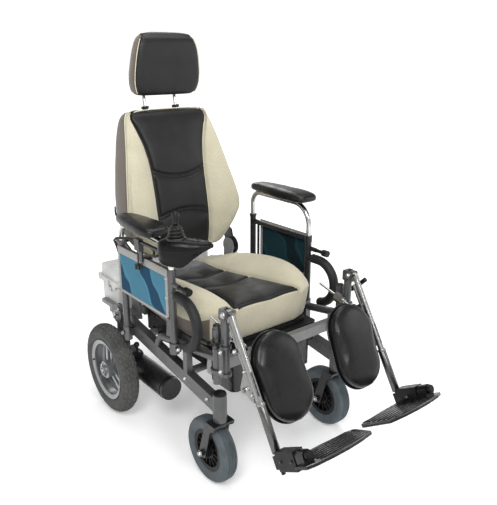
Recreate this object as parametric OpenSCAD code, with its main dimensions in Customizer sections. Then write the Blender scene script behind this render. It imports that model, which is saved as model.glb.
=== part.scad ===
// Power wheelchair: welded frame, bucket seat with reclining back, elevating leg rests,
// height-adjustable arms, swivelling front casters and two geared drive wheels.
// The chair faces -Y, +X is the user's left, +Z is up and the floor is z = 0. Units are mm.

/* [Drive wheels] */
// Track of the drive wheels, centre to centre
drive_track = 578; // [560:1:600]
// Outer radius of a drive tyre
drive_r = 159; // [150:1:165]
// Width of a drive tyre
tyre_w = 62; // [50:1:62]
// Radius where the tyre sits on the rim
rim_r = 106; // [100:1:112]

/* [Casters] */
// Distance between the caster stems
caster_track = 468; // [460:1:480]
// Outer radius of a caster tyre
caster_r = 100; // [90:1:100]
// Width of a caster tyre
caster_w = 50; // [40:1:50]
// Trail of the caster behind its stem
caster_trail = 42; // [35:1:45]

/* [Frame] */
// Half distance between the centres of the lower side tubes
side_x = 237; // [235:1:239]
// Width of a side tube
side_w = 26; // [24:1:28]
// Height of a side tube
side_h = 44; // [40:1:46]
// Rise of the side tubes towards the rear, degrees
side_slope = 8.3; // [7:0.1:9]
// Diameter of the round frame tubes
tube_d = 25; // [22:0.5:25]

/* [Arms] */
// Half distance between the arm frames
arm_x = 267; // [265:1:270]
// Outer diameter of the arm posts
post_d = 22; // [20:0.5:22]
// Diameter of the sliding chrome arm tube
slide_d = 18; // [16:0.5:18]
// How far the left arm pad stands above its lowest position
left_arm_raise = 30; // [0:1:50]

/* [Seat and back] */
// Height of the seat panel above the floor
seat_z = 508; // [495:1:515]
// Lean of the back from upright, degrees
back_lean = 10.6; // [8:0.1:13]
// Height of the back above its pivot, along the back
back_h = 517; // [490:1:530]

/* [Leg rests] */
// Lean of the leg tubes from upright, degrees
leg_lean = 30.75; // [25:0.25:35]
// Width of a calf pad
calf_w = 156; // [150:1:166]
// Length of a calf pad
calf_h = 246; // [240:1:265]
// Depth of a footplate, front to back
plate_d = 152; // [140:1:155]

/* [Hidden] */
$fn = 64;
y_mid = -64.6;
axle_y = 300;
gap = 0.05;
side_rise = tan(side_slope);
side_z0 = 302.6;
rail_x = 240;
rail_rise = 0.163;
rail_z0 = 371.6;
stem_x = caster_track / 2;
stem_y = -265;
recv_y = -265;
post_front = -88;
post_rear = 205;
pivot_y = 265;
pivot_z = 520;
head_x = 236;
head_y = -312;
head_z = 560;
lock_y = -285;
lock_z = 482;
eye_y = -345;
eye_z = 466;
rod_x = 213;
stick_x = -281.4;
stick_y = -132.4;
stick_up = 16;
hinge_s = 376;
lug_y = 275.6;
lug_z = 444.7;
act_y = -20;
act_z = 430;
act_x = 226;

c_frame = [0.27, 0.28, 0.29];
c_black = [0.07, 0.07, 0.08];
c_chrome = [0.8, 0.81, 0.83];
c_silver = [0.66, 0.67, 0.69];
c_grey = [0.62, 0.62, 0.62];
c_cream = [0.8, 0.77, 0.65];
c_taupe = [0.45, 0.41, 0.36];
c_leather = [0.12, 0.12, 0.12];
c_blue = [0.3, 0.5, 0.6];
c_tyre = [0.2, 0.2, 0.2];
c_caster = [0.32, 0.36, 0.38];

// ---- helpers ----

// Moves the drawing origin to the middle of the finished chair
module mid() {
    translate([0, -y_mid, 0])
        children();
}

// Draws a left-hand child on the right-hand side
module right() {
    mirror([1, 0, 0])
        children();
}

// Draws a left-hand child on both sides
module both() {
    children();
    mirror([1, 0, 0])
        children();
}

// Round bar from p to q
module rod(p, q, d) {
    v = q - p;
    len = norm(v);
    translate(p)
        rotate([0, acos(v[2] / len), atan2(v[1], v[0])])
            cylinder(h = len, d = d);
}

// Open tube from p to q with wall t
module pipe(p, q, d, t) {
    v = q - p;
    len = norm(v);
    translate(p)
        rotate([0, acos(v[2] / len), atan2(v[1], v[0])])
            difference() {
                cylinder(h = len, d = d);
                translate([0, 0, -1])
                    cylinder(h = len + 2, d = d - 2 * t);
            }
}

// Bent round bar in a plane of constant x, angles measured from +Y towards +Z
module elbow(c, r, a0, a1, d) {
    translate(c)
        rotate([90, 0, 90])
            rotate([0, 0, a0])
                rotate_extrude(angle = a1 - a0)
                    translate([r, 0])
                        circle(d = d);
}

// Box given by its low and high corners
module block(a, b) {
    translate(a)
        cube(b - a);
}

// Cylinder along X
module pin_x(x0, x1, y, z, d) {
    translate([x0, y, z])
        rotate([0, 90, 0])
            cylinder(h = x1 - x0, d = d);
}

// Cylinder along Y
module pin_y(x, y0, y1, z, d) {
    translate([x, y1, z])
        rotate([90, 0, 0])
            cylinder(h = y1 - y0, d = d);
}

// Flat plate in a plane of constant x, from a list of [y, z] points
module plate_x(x0, x1, pts) {
    translate([x0, 0, 0])
        rotate([90, 0, 90])
            linear_extrude(x1 - x0)
                polygon(pts);
}

// Rectangle with round corners, centred
module round_rect(w, h, r) {
    square([w - 2 * r, h], center = true);
    square([w, h - 2 * r], center = true);
    for (i = [-1, 1])
        for (j = [-1, 1])
            translate([i * (w / 2 - r), j * (h / 2 - r)])
                circle(r = r);
}

function side_z(y) = side_z0 + y * side_rise;
function rail_z(y) = rail_z0 - y * rail_rise;

// Solid outline of the left side tube
module side_outer() {
    run = 335 + 258;
    translate([side_x - side_w / 2, -258, side_z(-258)])
        rotate([side_slope, 0, 0])
            translate([0, 0, -side_h / 2])
                cube([side_w, run / cos(side_slope), side_h]);
}

// Bore of the left side tube, open at no end
module side_inner() {
    run = 335 + 258;
    translate([side_x - side_w / 2 + 2.5, -240, side_z(-240)])
        rotate([side_slope, 0, 0])
            translate([0, 0, -side_h / 2 + 2.5])
                cube([side_w - 5, (run - 24) / cos(side_slope), side_h - 5]);
}

// ---- frame ----

module half_side_tube() {
    difference() {
        union() {
            side_outer();
            translate([stem_x, stem_y, 215])
                cylinder(h = 85, r = 20);
            pin_x(245, 256, 306, 353, 66);
            block([228, 272, 204], [246, 328, 345]);
        }
        side_inner();
        translate([stem_x, stem_y, 200])
            cylinder(h = 90, r = 12 + gap);
    }
}

module side_tubes() {
    color(c_frame)
        mid()
            both()
                half_side_tube();
}

module half_front_frame() {
    difference() {
        union() {
            rod([rail_x, 15, rail_z(15)], [rail_x, recv_y, rail_z(recv_y)], tube_d);
            elbow([rail_x, 7.8, rail_z(15) - 44.4], 45, 0, 80.7, tube_d);
            translate([rail_x - 10, -125, 280])
                cube([20, 20, 105]);
            translate([rail_x, recv_y, 338])
                cylinder(h = 165, d = tube_d);
            translate([rail_x, recv_y, 503])
                cylinder(h = 9, d = 21);
        }
        side_outer();
    }
}

module front_frame() {
    color(c_frame)
        mid() {
            both()
                half_front_frame();
            right() {
                plate_x(239, 244, [[act_y - 16, 376], [act_y + 16, 372], [act_y + 9, 442], [act_y - 9, 442]]);
                pin_x(act_x - 5.5, 241, act_y, act_z, 10);
            }
        }
}

module half_rear_bracket() {
    plate_x(194, 200, [[236, 340], [304, 340], [292, 440], [290, 520], [240, 520], [244, 430]]);
    pin_x(194, 200, pivot_y, pivot_z, 60);
    pin_x(199, 212, pivot_y, pivot_z, 16);
    block([194, 240, 340], [224, 300, 360]);
    block([206, 292, 330], [224, 486, 344]);
    block([206, 420, 299], [210, 456, 331]);
}

module cross_members() {
    color(c_frame)
        mid() {
            difference() {
                union() {
                    block([-246, -245.4, 354], [246, -223.4, 386]);
                    both()
                        block([228, -245.4, 384], [246, -226, 412]);
                }
                block([-220, -242.9, 356.5], [220, -225.9, 383.5]);
                both()
                    half_front_frame();
            }
            pipe([-224, -90, side_z(-90)], [224, -90, side_z(-90)], tube_d, 2.5);
            pipe([-224, 150, side_z(150)], [224, 150, side_z(150)], tube_d, 2.5);
            block([-194, 218, 360], [194, 242, 386]);
            both()
                half_rear_bracket();
            block([-206, 420, 299], [206, 456, 305]);
        }
}

module seat_board() {
    color(c_black)
        mid()
            translate([0, 30, 386])
                linear_extrude(10)
                    round_rect(350, 440, 30);
}

module controller_box() {
    color(c_black)
        mid() {
            translate([0, -164.5, 252])
                linear_extrude(96)
                    round_rect(316, 123, 24);
            difference() {
                translate([0, -0.5, 322])
                    linear_extrude(62)
                        round_rect(388, 427, 18);
                block([-230, 135, 300], [230, 165, 341]);
            }
        }
}

module battery_box() {
    color(c_grey)
        mid() {
            difference() {
                translate([0, 455, 335])
                    linear_extrude(73)
                        round_rect(408, 126, 16);
                translate([0, 455, 339])
                    linear_extrude(80)
                        round_rect(400, 118, 12);
            }
            translate([0, 445, 305])
                linear_extrude(30)
                    round_rect(396, 92, 14);
            pin_y(-150, 380, 393, 380, 18);
            both() {
                pin_x(110, 150, 526, 402, 6);
                block([106, 516, 394], [112, 529.6, 405.6]);
                block([148, 516, 394], [154, 529.6, 405.6]);
            }
        }
}

module battery_lid() {
    color(c_grey)
        mid() {
            difference() {
                union() {
                    translate([0, 463, 408])
                        linear_extrude(17)
                            round_rect(422, 160, 18);
                    translate([0, 462, 425])
                        linear_extrude(40)
                            round_rect(404, 134, 20);
                }
                translate([0, 462, 400])
                    linear_extrude(61)
                        round_rect(396, 126, 16);
            }
            both() {
                block([205, 400, 396], [211, 424, 412]);
                difference() {
                    block([115, 520.5, 396.5], [145, 531, 412]);
                    pin_x(100, 160, 526, 402, 6 + 2 * gap);
                }
            }
        }
}

module half_gearmotor() {
    difference() {
        translate([186, axle_y, drive_r])
            rotate([90, 0, 90])
                linear_extrude(62)
                    round_rect(90, 90, 18);
        pin_x(224, 250, axle_y, drive_r, 20 + 2 * gap);
    }
    pin_y(205, 60, 256, drive_r, 80);
    pin_y(205, 45, 60, drive_r, 76);
    pin_x(248, 251, axle_y, drive_r + 34, 12);
    pin_y(215, 236, 256, 206, 26);
    rod([215, 246, 206], [222, 238, 246], 9);
    translate([222, 238, 250])
        sphere(d = 20);
}

module gearmotors() {
    color(c_black)
        mid()
            both()
                half_gearmotor();
}

// ---- arms ----

module half_arm_frame() {
    difference() {
        union() {
            translate([arm_x, post_front, 372])
                cylinder(h = 254, d = post_d);
            translate([arm_x, post_front, 606])
                cylinder(h = 20.5, d = 25);
            translate([arm_x, post_rear, 306])
                cylinder(h = 334, d = post_d);
            translate([arm_x, post_rear, 636])
                cylinder(h = 7, d = 27);
            rod([arm_x, post_front + 5, 616], [arm_x, post_rear - 5, 616], 18);
            rod([arm_x, 174, 476], [arm_x, 174, 616], 9);
            rod([arm_x, post_front + 5, 476], [arm_x, post_rear - 5, 476], 9);
            rod([arm_x, post_front - 5, 553], [arm_x, -140, 553], 19.8);
            elbow([arm_x, -140, 481], 72, 90, 258, 19.8);
            pin_y(arm_x, -126, post_front - 5, 584, 15);
        }
        translate([arm_x, post_front, 500])
            cylinder(h = 140, r = slide_d / 2 + gap);
        translate([arm_x, post_rear, 500])
            cylinder(h = 150, r = slide_d / 2 + gap);
        pin_y(arm_x, -130, post_front, 584, 8 + 2 * gap);
    }
}

module arm_frame_l() {
    color(c_black)
        mid()
            half_arm_frame();
}

module arm_frame_r() {
    color(c_frame)
        mid()
            right()
                half_arm_frame();
}

module half_arm_sockets() {
    difference() {
        union() {
            translate([arm_x, post_front, 366])
                cylinder(h = 34, r = 14.5);
            block([252.6, -103, 372], [266, -73, 398]);
            pin_y(arm_x, -107, -100, 384, 11);
            translate([arm_x, post_rear, 300])
                cylinder(h = 47, r = 14.5);
            block([250.1, 191, 312], [266, 219, 340]);
            pin_x(280, 285, post_rear, 326, 11);
        }
        translate([arm_x, post_front, 372])
            cylinder(h = 40, r = post_d / 2 + gap);
        translate([arm_x, post_rear, 306])
            cylinder(h = 60, r = post_d / 2 + gap);
    }
}

module arm_sockets() {
    color(c_silver)
        mid()
            both()
                difference() {
                    half_arm_sockets();
                    half_front_frame();
                    side_outer();
                }
}

module side_guard_l() {
    color(c_blue)
        mid()
            block([278.3, -84, 474], [280.3, 178, 627]);
}

module side_guard_r() {
    color(c_blue)
        mid()
            right()
                block([278.3, -84, 474], [280.3, 214, 627]);
}

// Chrome hoop, with its top run level with the drawing plane z = 0
module arm_hoop() {
    rod([arm_x, post_front, -190], [arm_x, post_front, -70], slide_d);
    elbow([arm_x, post_front + 70, -70], 70, 90, 180, slide_d);
    rod([arm_x, post_front + 70, 0], [arm_x, post_rear - 40, 0], slide_d);
    elbow([arm_x, post_rear - 40, -40], 40, 0, 90, slide_d);
    rod([arm_x, post_rear, -190], [arm_x, post_rear, -40], slide_d);
    block([arm_x - 12, 0, 6], [arm_x + 12, 30, 9.5]);
    block([arm_x - 12, 110, 6], [arm_x + 12, 140, 9.5]);
}

module arm_tube_l() {
    color(c_chrome)
        mid()
            translate([0, 0, 697 + left_arm_raise])
                arm_hoop();
}

module arm_tube_r() {
    color(c_chrome)
        mid()
            right()
                translate([0, 0, 697])
                    arm_hoop();
}

// Arm pad outline, boat shaped, from y0 to y1
module pad_outline(y0, y1) {
    n = y1 - y0;
    polygon([
        [arm_x - 24, y0], [arm_x + 24, y0], [arm_x + 38, y0 + 16], [arm_x + 44, y0 + n * 0.25],
        [arm_x + 44, y0 + n * 0.5], [arm_x + 36, y0 + n * 0.75], [arm_x + 22, y1 - 10],
        [arm_x + 10, y1], [arm_x - 10, y1], [arm_x - 22, y1 - 10], [arm_x - 36, y0 + n * 0.75],
        [arm_x - 44, y0 + n * 0.5], [arm_x - 44, y0 + n * 0.25], [arm_x - 38, y0 + 16]
    ]);
}

module arm_pad_l() {
    color(c_leather)
        mid()
            translate([0, 0, 706.8 + left_arm_raise])
                linear_extrude(31)
                    pad_outline(-90, 204);
}

module arm_pad_r() {
    color(c_leather)
        mid()
            right()
                translate([0, 0, 706.8])
                    linear_extrude(31)
                        pad_outline(-34, 208);
}

module half_arm_lock() {
    pin_y(arm_x, -160, -97.4, 584, 8);
    pin_y(arm_x, -178, -158, 584, 22);
    pin_y(arm_x, -160, -128, 584, 12);
}

module arm_lock_l() {
    color(c_black)
        mid()
            half_arm_lock();
}

module arm_lock_r() {
    color(c_black)
        mid()
            right()
                half_arm_lock();
}

module half_grip_foam() {
    pipe([arm_x, -112, 553], [arm_x, -139.9, 553], 30, 5);
    translate([arm_x, -140, 481])
        rotate([90, 0, 90]) {
            rotate([0, 0, 90])
                rotate_extrude(angle = 168)
                    translate([72, 0])
                        difference() {
                            circle(r = 15);
                            circle(r = 10);
                        }
            rotate([0, 0, 258.2])
                translate([72, 0, 0])
                    rotate([-90, 0, 0])
                        rotate_extrude()
                            polygon([[0, 0], [15, 0], [14.4, 4], [12.6, 8], [9.4, 11.6], [5, 14], [0, 15]]);
        }
}

module grip_foams() {
    color(c_leather)
        mid()
            both()
                half_grip_foam();
}

// ---- joystick ----

module joystick_mount() {
    color(c_frame)
        mid()
            difference() {
                union() {
                    block([-300, 34, 654], [-284, 62, 690]);
                    block([-288, 40, 618], [-283, 58, 655]);
                    block([-288, 40, 627.6], [-252, 58, 633]);
                    block([-257.8, 40, 610], [-252, 58, 633]);
                    pin_y(-292, -97, 36, 682, 11);
                    translate([-296, 49, 606])
                        cylinder(h = 50, d = 5);
                    translate([-296, 49, 598])
                        cylinder(h = 13, d = 15);
                    for (a = [0 : 60 : 300])
                        translate([-296 + 8.5 * cos(a), 49 + 8.5 * sin(a), 598])
                            cylinder(h = 13, d = 8);
                }
                rod([-arm_x, -20, 616], [-arm_x, 80, 616], 18.4);
            }
}

// Places a child at the stick, with +X along the long axis of the control box
module at_stick() {
    translate([stick_x, stick_y, stick_up])
        rotate([0, 0, -45.6])
            children();
}

module joystick_body() {
    color(c_black)
        mid()
            difference() {
                at_stick() {
                    intersection() {
                        rotate([90, 0, 0])
                            translate([0, 0, -40])
                                linear_extrude(80)
                                    polygon([
                                        [-44, 656], [-34, 643], [22, 643], [50, 664], [75, 682], [96, 694],
                                        [101, 700], [92, 707], [50, 714], [20, 718], [-20, 718], [-46, 708],
                                        [-52, 698], [-51, 682]
                                    ]);
                        translate([0, 0, 640])
                            linear_extrude(100)
                                polygon([
                                    [-52, -8], [-44, -20], [-30, -28], [-10, -31], [30, -31], [60, -27],
                                    [84, -20], [97, -11], [101, 0], [97, 11], [84, 20], [60, 27], [30, 31],
                                    [-10, 31], [-30, 28], [-44, 20], [-52, 8]
                                ]);
                        rotate([90, 0, 90])
                            translate([0, 0, -60])
                                linear_extrude(170)
                                    polygon([
                                        [-24, 640], [24, 640], [32, 682], [32, 692], [25, 720],
                                        [-25, 720], [-32, 692], [-32, 682]
                                    ]);
                    }
                    translate([82, 0, 698])
                        cylinder(h = 13, d = 17);
                }
                at_stick()
                    translate([0, 0, 702])
                        cylinder(h = 30, r = 25.5);
                pin_y(-292, -98, -50, 682, 11 + 2 * gap);
                rod([-309.4, -106.6, 680.3], [-323.4, -92.4, 677.7], 8);
            }
}

module joystick_boot() {
    color(c_leather)
        mid() {
            at_stick() {
                translate([0, 0, 712.4])
                    cylinder(h = 11, r = 20);
                for (i = [0 : 2])
                    translate([0, 0, 723 + 8 * i])
                        rotate_extrude()
                            polygon([
                                [0, 0], [16 - 2 * i, 0], [21.5 - 2.5 * i, 5.5], [15 - 2 * i, 8.4], [0, 8.4]
                            ]);
            }
            pin_x(stick_x - 12, stick_x + 12, stick_y, 712 + stick_up, 8);
        }
}

module joystick_knob() {
    color(c_black)
        mid() {
            at_stick()
                translate([0, 0, 748.8])
                    rotate_extrude()
                        polygon([
                            [0, 0], [4, 0], [11, 4], [9, 8], [8.5, 11], [10, 17], [11, 26], [10, 31], [6, 35], [0, 36]
                        ]);
            pin_y(stick_x, stick_y - 11.6, stick_y + 11.6, 753 + stick_up, 4);
        }
}

// Route of the joystick lead along the right arm and down to the battery box
lead = [
    [-310.8, -105.2, 680], [-322, -93.8, 678], [-317, -78, 674], [-306, -62, 671], [-294, -44, 668.5],
    [-281, -20, 669], [-275, 20, 671], [-275, 60, 672], [-276, 100, 671], [-280, 140, 666],
    [-286, 175, 660], [-287, 205, 652], [-282, 228, 640], [-270, 240, 620], [-262, 242, 590],
    [-258, 242, 550], [-255, 241, 510], [-252, 241, 470], [-249, 243, 430], [-244, 250, 405],
    [-236, 268, 394], [-226, 290, 390], [-214, 316, 388], [-196, 344, 385], [-168, 366, 381],
    [-150, 374, 380], [-150, 380, 380]
];
lead_sides = 10;
lead_r = 3.8;
lead_ref = [1, -0.4, 0.6];

function unit(v) = v / norm(v);
function lead_dir(i) = unit(lead[min(i + 1, len(lead) - 1)] - lead[max(i - 1, 0)]);
function lead_n(i) = unit(cross(lead_dir(i), lead_ref));
function lead_b(i) = cross(lead_dir(i), lead_n(i));
function lead_ring(i) = [
    for (k = [0 : lead_sides - 1])
        let (a = 360 * k / lead_sides)
            lead[i] + lead_r * (cos(a) * lead_n(i) + sin(a) * lead_b(i))
];

module joystick_cable() {
    n = len(lead);
    m = lead_sides;
    color(c_black)
        mid()
            polyhedron(
                points = [for (i = [0 : n - 1]) each lead_ring(i)],
                faces = concat(
                    [[for (k = [0 : m - 1]) k]],
                    [
                        for (i = [0 : n - 2])
                            for (k = [0 : m - 1])
                                [i * m + k, (i + 1) * m + k, (i + 1) * m + (k + 1) % m, i * m + (k + 1) % m]
                    ],
                    [[for (k = [m - 1 : -1 : 0]) (n - 1) * m + k]]
                )
            );
}

// ---- back and headrest ----

// Places a child at the recline pivot, +Z up the back and +Y out of its rear face
module at_back() {
    translate([0, pivot_y, pivot_z])
        rotate([-back_lean, 0, 0])
            children();
}

module half_back_arm() {
    difference() {
        union() {
            plate_x(204, 210, [[-22, -20], [22, -20], [30, 40], [84, 70], [84, 102], [40, 102], [-18, 60]]);
            pin_x(204, 210, 0, 0, 60);
            pin_x(210, 217, 0, 0, 70);
        }
        pin_x(190, 213, 0, 0, 16 + 2 * gap);
    }
}

module back_frame() {
    color(c_black)
        mid() {
            at_back() {
                both()
                    half_back_arm();
                pipe([-207, 72, 88], [207, 72, 88], 20, 2);
                both()
                    pipe([60, 72, 90], [60, 72, 470], 20, 2);
                pipe([-60, 72, 300], [60, 72, 300], 18, 2);
            }
            right() {
                difference() {
                    union() {
                        plate_x(204, 210, [[247, 520], [284, 520], [286, 446], [280, 435], [271, 435], [264, 444]]);
                        pin_x(209, 233, lug_y, lug_z, 9);
                    }
                    pin_x(190, 213, pivot_y, pivot_z, 16 + 2 * gap);
                }
            }
        }
}

// Front outline of the back, half widths against height
module back_outline(g) {
    polygon([
        [-118 + g, 36], [118 - g, 36], [150 - g, 60], [192 - g, 120], [210 - g, 165], [213 - g, 200],
        [205 - g, 260], [178 - g, 380], [166 - g, 450], [154 - g, 492], [130 - g, back_h - g],
        [-130 + g, back_h - g], [-154 + g, 492], [-166 + g, 450], [-178 + g, 380], [-205 + g, 260],
        [-213 + g, 200], [-210 + g, 165], [-192 + g, 120], [-150 + g, 60]
    ]);
}

module back_shell() {
    color(c_taupe)
        mid()
            at_back()
                difference() {
                    translate([0, 61, 0])
                        rotate([90, 0, 0])
                            linear_extrude(55.7)
                                back_outline(0);
                    both()
                        translate([60, 22, 356])
                            cylinder(h = 220, r = 9);
                }
}

module back_cushion() {
    color(c_cream)
        mid()
            at_back() {
                translate([0, 5, 0])
                    rotate([90, 0, 0])
                        linear_extrude(35)
                            back_outline(2);
                both()
                    translate([0, -29.9, 0])
                        rotate([90, 0, 0])
                            linear_extrude(20)
                                polygon([
                                    [112, 70], [150, 76], [190, 130], [207, 170], [209, 200], [200, 260],
                                    [174, 370], [160, 440], [120, 420], [108, 300], [106, 160]
                                ]);
                both()
                    translate([0, -49.8, 0])
                        rotate([90, 0, 0])
                            linear_extrude(20)
                                polygon([[150, 130], [184, 134], [204, 180], [196, 250], [176, 330], [150, 320]]);
            }
}

module headrest_guides() {
    color(c_black)
        mid()
            at_back()
                both()
                    translate([60, 22, 0])
                        difference() {
                            union() {
                                translate([0, 0, 372])
                                    cylinder(h = back_h - 371, r = 8.9);
                                translate([0, 0, back_h + 0.4])
                                    cylinder(h = 8, r = 13);
                            }
                            translate([0, 0, 360])
                                cylinder(h = 200, r = 6 + gap);
                        }
}

module headrest_posts() {
    color(c_chrome)
        mid()
            at_back()
                both()
                    translate([60, 22, 385])
                        cylinder(h = 186, r = 6);
}

module headrest_pad() {
    color(c_leather)
        mid()
            difference() {
                translate([0, 424, 1077])
                    rotate([6.5, 0, 0])
                        translate([0, -18, 0])
                            rotate([90, 0, 0])
                                linear_extrude(86)
                                    polygon([
                                        [-108, 5], [108, 5], [122, 17], [128, 48], [126, 96], [116, 148],
                                        [104, 176], [86, 190], [-86, 190], [-104, 176], [-116, 148],
                                        [-126, 96], [-128, 48], [-122, 17]
                                    ]);
                at_back()
                    both()
                        translate([60, 22, 380])
                            cylinder(h = 191.5, r = 6 + gap);
            }
}

// Unit directions of the recline strut, front pivot to lug
act_len = norm([lug_y - act_y, lug_z - act_z]);
act_a = atan2(lug_z - act_z, lug_y - act_y);

// Places a child at the front pivot of the recline strut, +Y towards the lug
module at_strut() {
    translate([-act_x, act_y, act_z])
        rotate([act_a, 0, 0])
            children();
}

module recline_cylinder() {
    color(c_frame)
        mid()
            at_strut()
                difference() {
                    union() {
                        pin_y(0, 10, 158, 0, 22);
                        pin_x(-6, 6, 0, 0, 22);
                        pin_y(0, 0, 14, 0, 12);
                    }
                    pin_x(-20, 20, 0, 0, 10 + 2 * gap);
                    pin_y(0, 30, 170, 0, 10 + 2 * gap);
                }
}

module recline_rod() {
    color(c_chrome)
        mid()
            at_strut() {
                pin_y(0, 110, act_len - 12, 0, 10);
                difference() {
                    pin_x(-5, 5, act_len, 0, 26);
                    pin_x(-10, 10, act_len, 0, 19);
                }
            }
}

// ---- seat ----

function seat_half(y) = lookup(y, [
    [-206, 135], [-198, 152], [-176, 184], [-140, 207], [-90, 214], [0, 213], [110, 204], [205, 184], [226, 176], [300, 156]
]);
seat_rows = [-206, -198, -176, -140, -90, 0, 110, 205, 226, 300];

module seat_outline(g) {
    polygon(concat(
        [for (y = seat_rows) [seat_half(y) - g, y]],
        [for (i = [len(seat_rows) - 1 : -1 : 0]) [g - seat_half(seat_rows[i]), seat_rows[i]]]
    ));
}

module seat_cushion() {
    color(c_cream)
        mid() {
            translate([0, 0, 396.3])
                linear_extrude(40)
                    seat_outline(9);
            translate([0, 0, 436.3])
                linear_extrude(seat_z - 440.3)
                    seat_outline(0);
            both()
                translate([0, 0, seat_z - 4])
                    linear_extrude(22)
                        polygon([
                            [146, -178], [180, -168], [203, -136], [210, -90], [209, 0], [200, 110],
                            [186, 170], [168, 196], [140, 190], [122, 120], [124, 0], [132, -110]
                        ]);
            both()
                translate([0, 0, seat_z + 18])
                    linear_extrude(14)
                        polygon([
                            [166, -138], [190, -130], [203, -100], [205, -40], [203, 40], [192, 90],
                            [172, 110], [152, 80], [146, 0], [150, -100]
                        ]);
        }
}

// ---- casters ----

module half_fork() {
    translate([stem_x, stem_y, 0]) {
        translate([0, 0, 206])
            cylinder(h = 80, r = 12);
        translate([0, 0, 202])
            cylinder(h = 12.4, r = 19);
    }
    translate([stem_x, stem_y + caster_trail, 0]) {
        for (s = [-1, 1])
            translate([s * 33 - 2.5, 0, 0])
                rotate([90, 0, 90])
                    linear_extrude(5)
                        polygon([
                            [-15, 92], [-10, 84], [10, 84], [15, 92], [13, 110], [-20, 213], [-62, 213], [-60, 200], [-40, 186]
                        ]);
        translate([-35.5, -62, 206])
            cube([71, 42, 7]);
        pin_x(-41, 41, 0, caster_r, 10);
        pin_x(-43, -35.6, 0, caster_r, 19);
        pin_x(35.6, 43, 0, caster_r, 19);
    }
}

module caster_fork_l() {
    color(c_black)
        mid()
            half_fork();
}

module caster_fork_r() {
    color(c_black)
        mid()
            right()
                half_fork();
}

module half_caster_hub() {
    translate([stem_x, stem_y + caster_trail, caster_r])
        rotate([0, 90, 0])
            difference() {
                union() {
                    cylinder(h = 58, r = 20, center = true);
                    cylinder(h = 10, r = 60, center = true);
                    rotate_extrude()
                        translate([52, -18])
                            square([12, 36]);
                }
                cylinder(h = 80, r = 5 + gap, center = true);
            }
}

module caster_hub_l() {
    color(c_black)
        mid()
            half_caster_hub();
}

module caster_hub_r() {
    color(c_black)
        mid()
            right()
                half_caster_hub();
}

module half_caster_tyre() {
    translate([stem_x, stem_y + caster_trail, caster_r])
        rotate([0, 90, 0])
            rotate_extrude()
                polygon([
                    [64, -19], [72, -22], [82, -25], [92, -24], [98, -18], [100, -8], [100, 8], [98, 18],
                    [92, 24], [82, 25], [72, 22], [64, 19]
                ]);
}

module caster_tyre_l() {
    color(c_caster)
        mid()
            half_caster_tyre();
}

module caster_tyre_r() {
    color(c_caster)
        mid()
            right()
                half_caster_tyre();
}

// ---- drive wheels ----

module half_drive_rim() {
    translate([drive_track / 2, axle_y, drive_r])
        rotate([0, 90, 0]) {
            rotate_extrude()
                polygon([
                    [92, -22], [rim_r, -26], [rim_r, 26], [92, 22], [92, 16], [97, 10], [97, -10], [92, -16]
                ]);
            cylinder(h = 56, r = 30, center = true);
            translate([0, 0, 28])
                difference() {
                    cylinder(h = 10, r = 16);
                    translate([0, 0, 4])
                        cylinder(h = 10, r = 11);
                }
            translate([0, 0, -60])
                cylinder(h = 40, r = 10);
            for (a = [0 : 120 : 240])
                rotate([0, 0, a + 60])
                    for (s = [-1, 1])
                        translate([22, s * 15 - 5.5, -9])
                            cube([73, 11, 18]);
        }
}

module drive_rim_l() {
    color(c_silver)
        mid()
            half_drive_rim();
}

module drive_rim_r() {
    color(c_silver)
        mid()
            right()
                half_drive_rim();
}

module half_drive_tyre() {
    translate([drive_track / 2, axle_y, drive_r])
        rotate([0, 90, 0])
            rotate_extrude()
                difference() {
                    translate([drive_r - tyre_w / 2, 0])
                        circle(d = tyre_w);
                    translate([0, -tyre_w])
                        square([rim_r, 2 * tyre_w]);
                }
}

module drive_tyre_l() {
    color(c_tyre)
        mid()
            half_drive_tyre();
}

module drive_tyre_r() {
    color(c_tyre)
        mid()
            right()
                half_drive_tyre();
}

// ---- leg rests ----

// Places a child at the leg hinge: -Z down the leg, -Y to its front, x from the hinge centre
module at_leg() {
    translate([head_x, head_y, head_z])
        rotate([-leg_lean, 0, 0])
            children();
}

// Flat link joining the receiver and the hanger post
module hanger_link(z, t) {
    translate([0, 0, z])
        linear_extrude(t)
            difference() {
                union() {
                    translate([rail_x, recv_y])
                        circle(r = 19);
                    translate([head_x, -298])
                        circle(r = 17);
                    translate([head_x - 15, -298])
                        square([31, 33]);
                }
                translate([rail_x, recv_y])
                    circle(r = tube_d / 2 + gap);
            }
}

// Left hanger post and brackets, with the lever pin at height z out to x1
module half_hanger(z, x1) {
    translate([head_x, -298, 380])
        cylinder(h = 164, d = 24);
    hanger_link(458, 7);
    hanger_link(374, 10);
    block([head_x + 8, -308, 376], [head_x + 16.5, -288, 463]);
    pin_x(head_x + 10, x1, -300, z, 6);
    for (s = [-1, 1])
        plate_x(head_x + s * 10 - 3, head_x + s * 10 + 3, [
            [-286, 540], [-286, 566], [-292, 572], [-304, 572], [-318, 568], [-320, 558], [-314, 550], [-304, 538]
        ]);
    translate([head_x, -298, 540])
        cylinder(h = 6, d = 26);
    block([head_x - 12, -296, 540], [head_x + 12, -286, 570]);
    pin_x(head_x - 17, head_x + 17, head_y, head_z, 10);
    pin_x(rod_x + 5.6, 226, lock_y, lock_z, 10);
    block([225, -293, 474], [233, -279, 490]);
    pin_x(head_x - 16, head_x - 11, head_y, head_z, 18);
    pin_x(head_x + 12, head_x + 17, head_y, head_z, 18);
}

module leg_hanger_l() {
    color(c_frame)
        mid()
            half_hanger(506, 259.5);
}

module leg_hanger_r() {
    color(c_frame)
        mid()
            right()
                half_hanger(470, 271.5);
}

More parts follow.
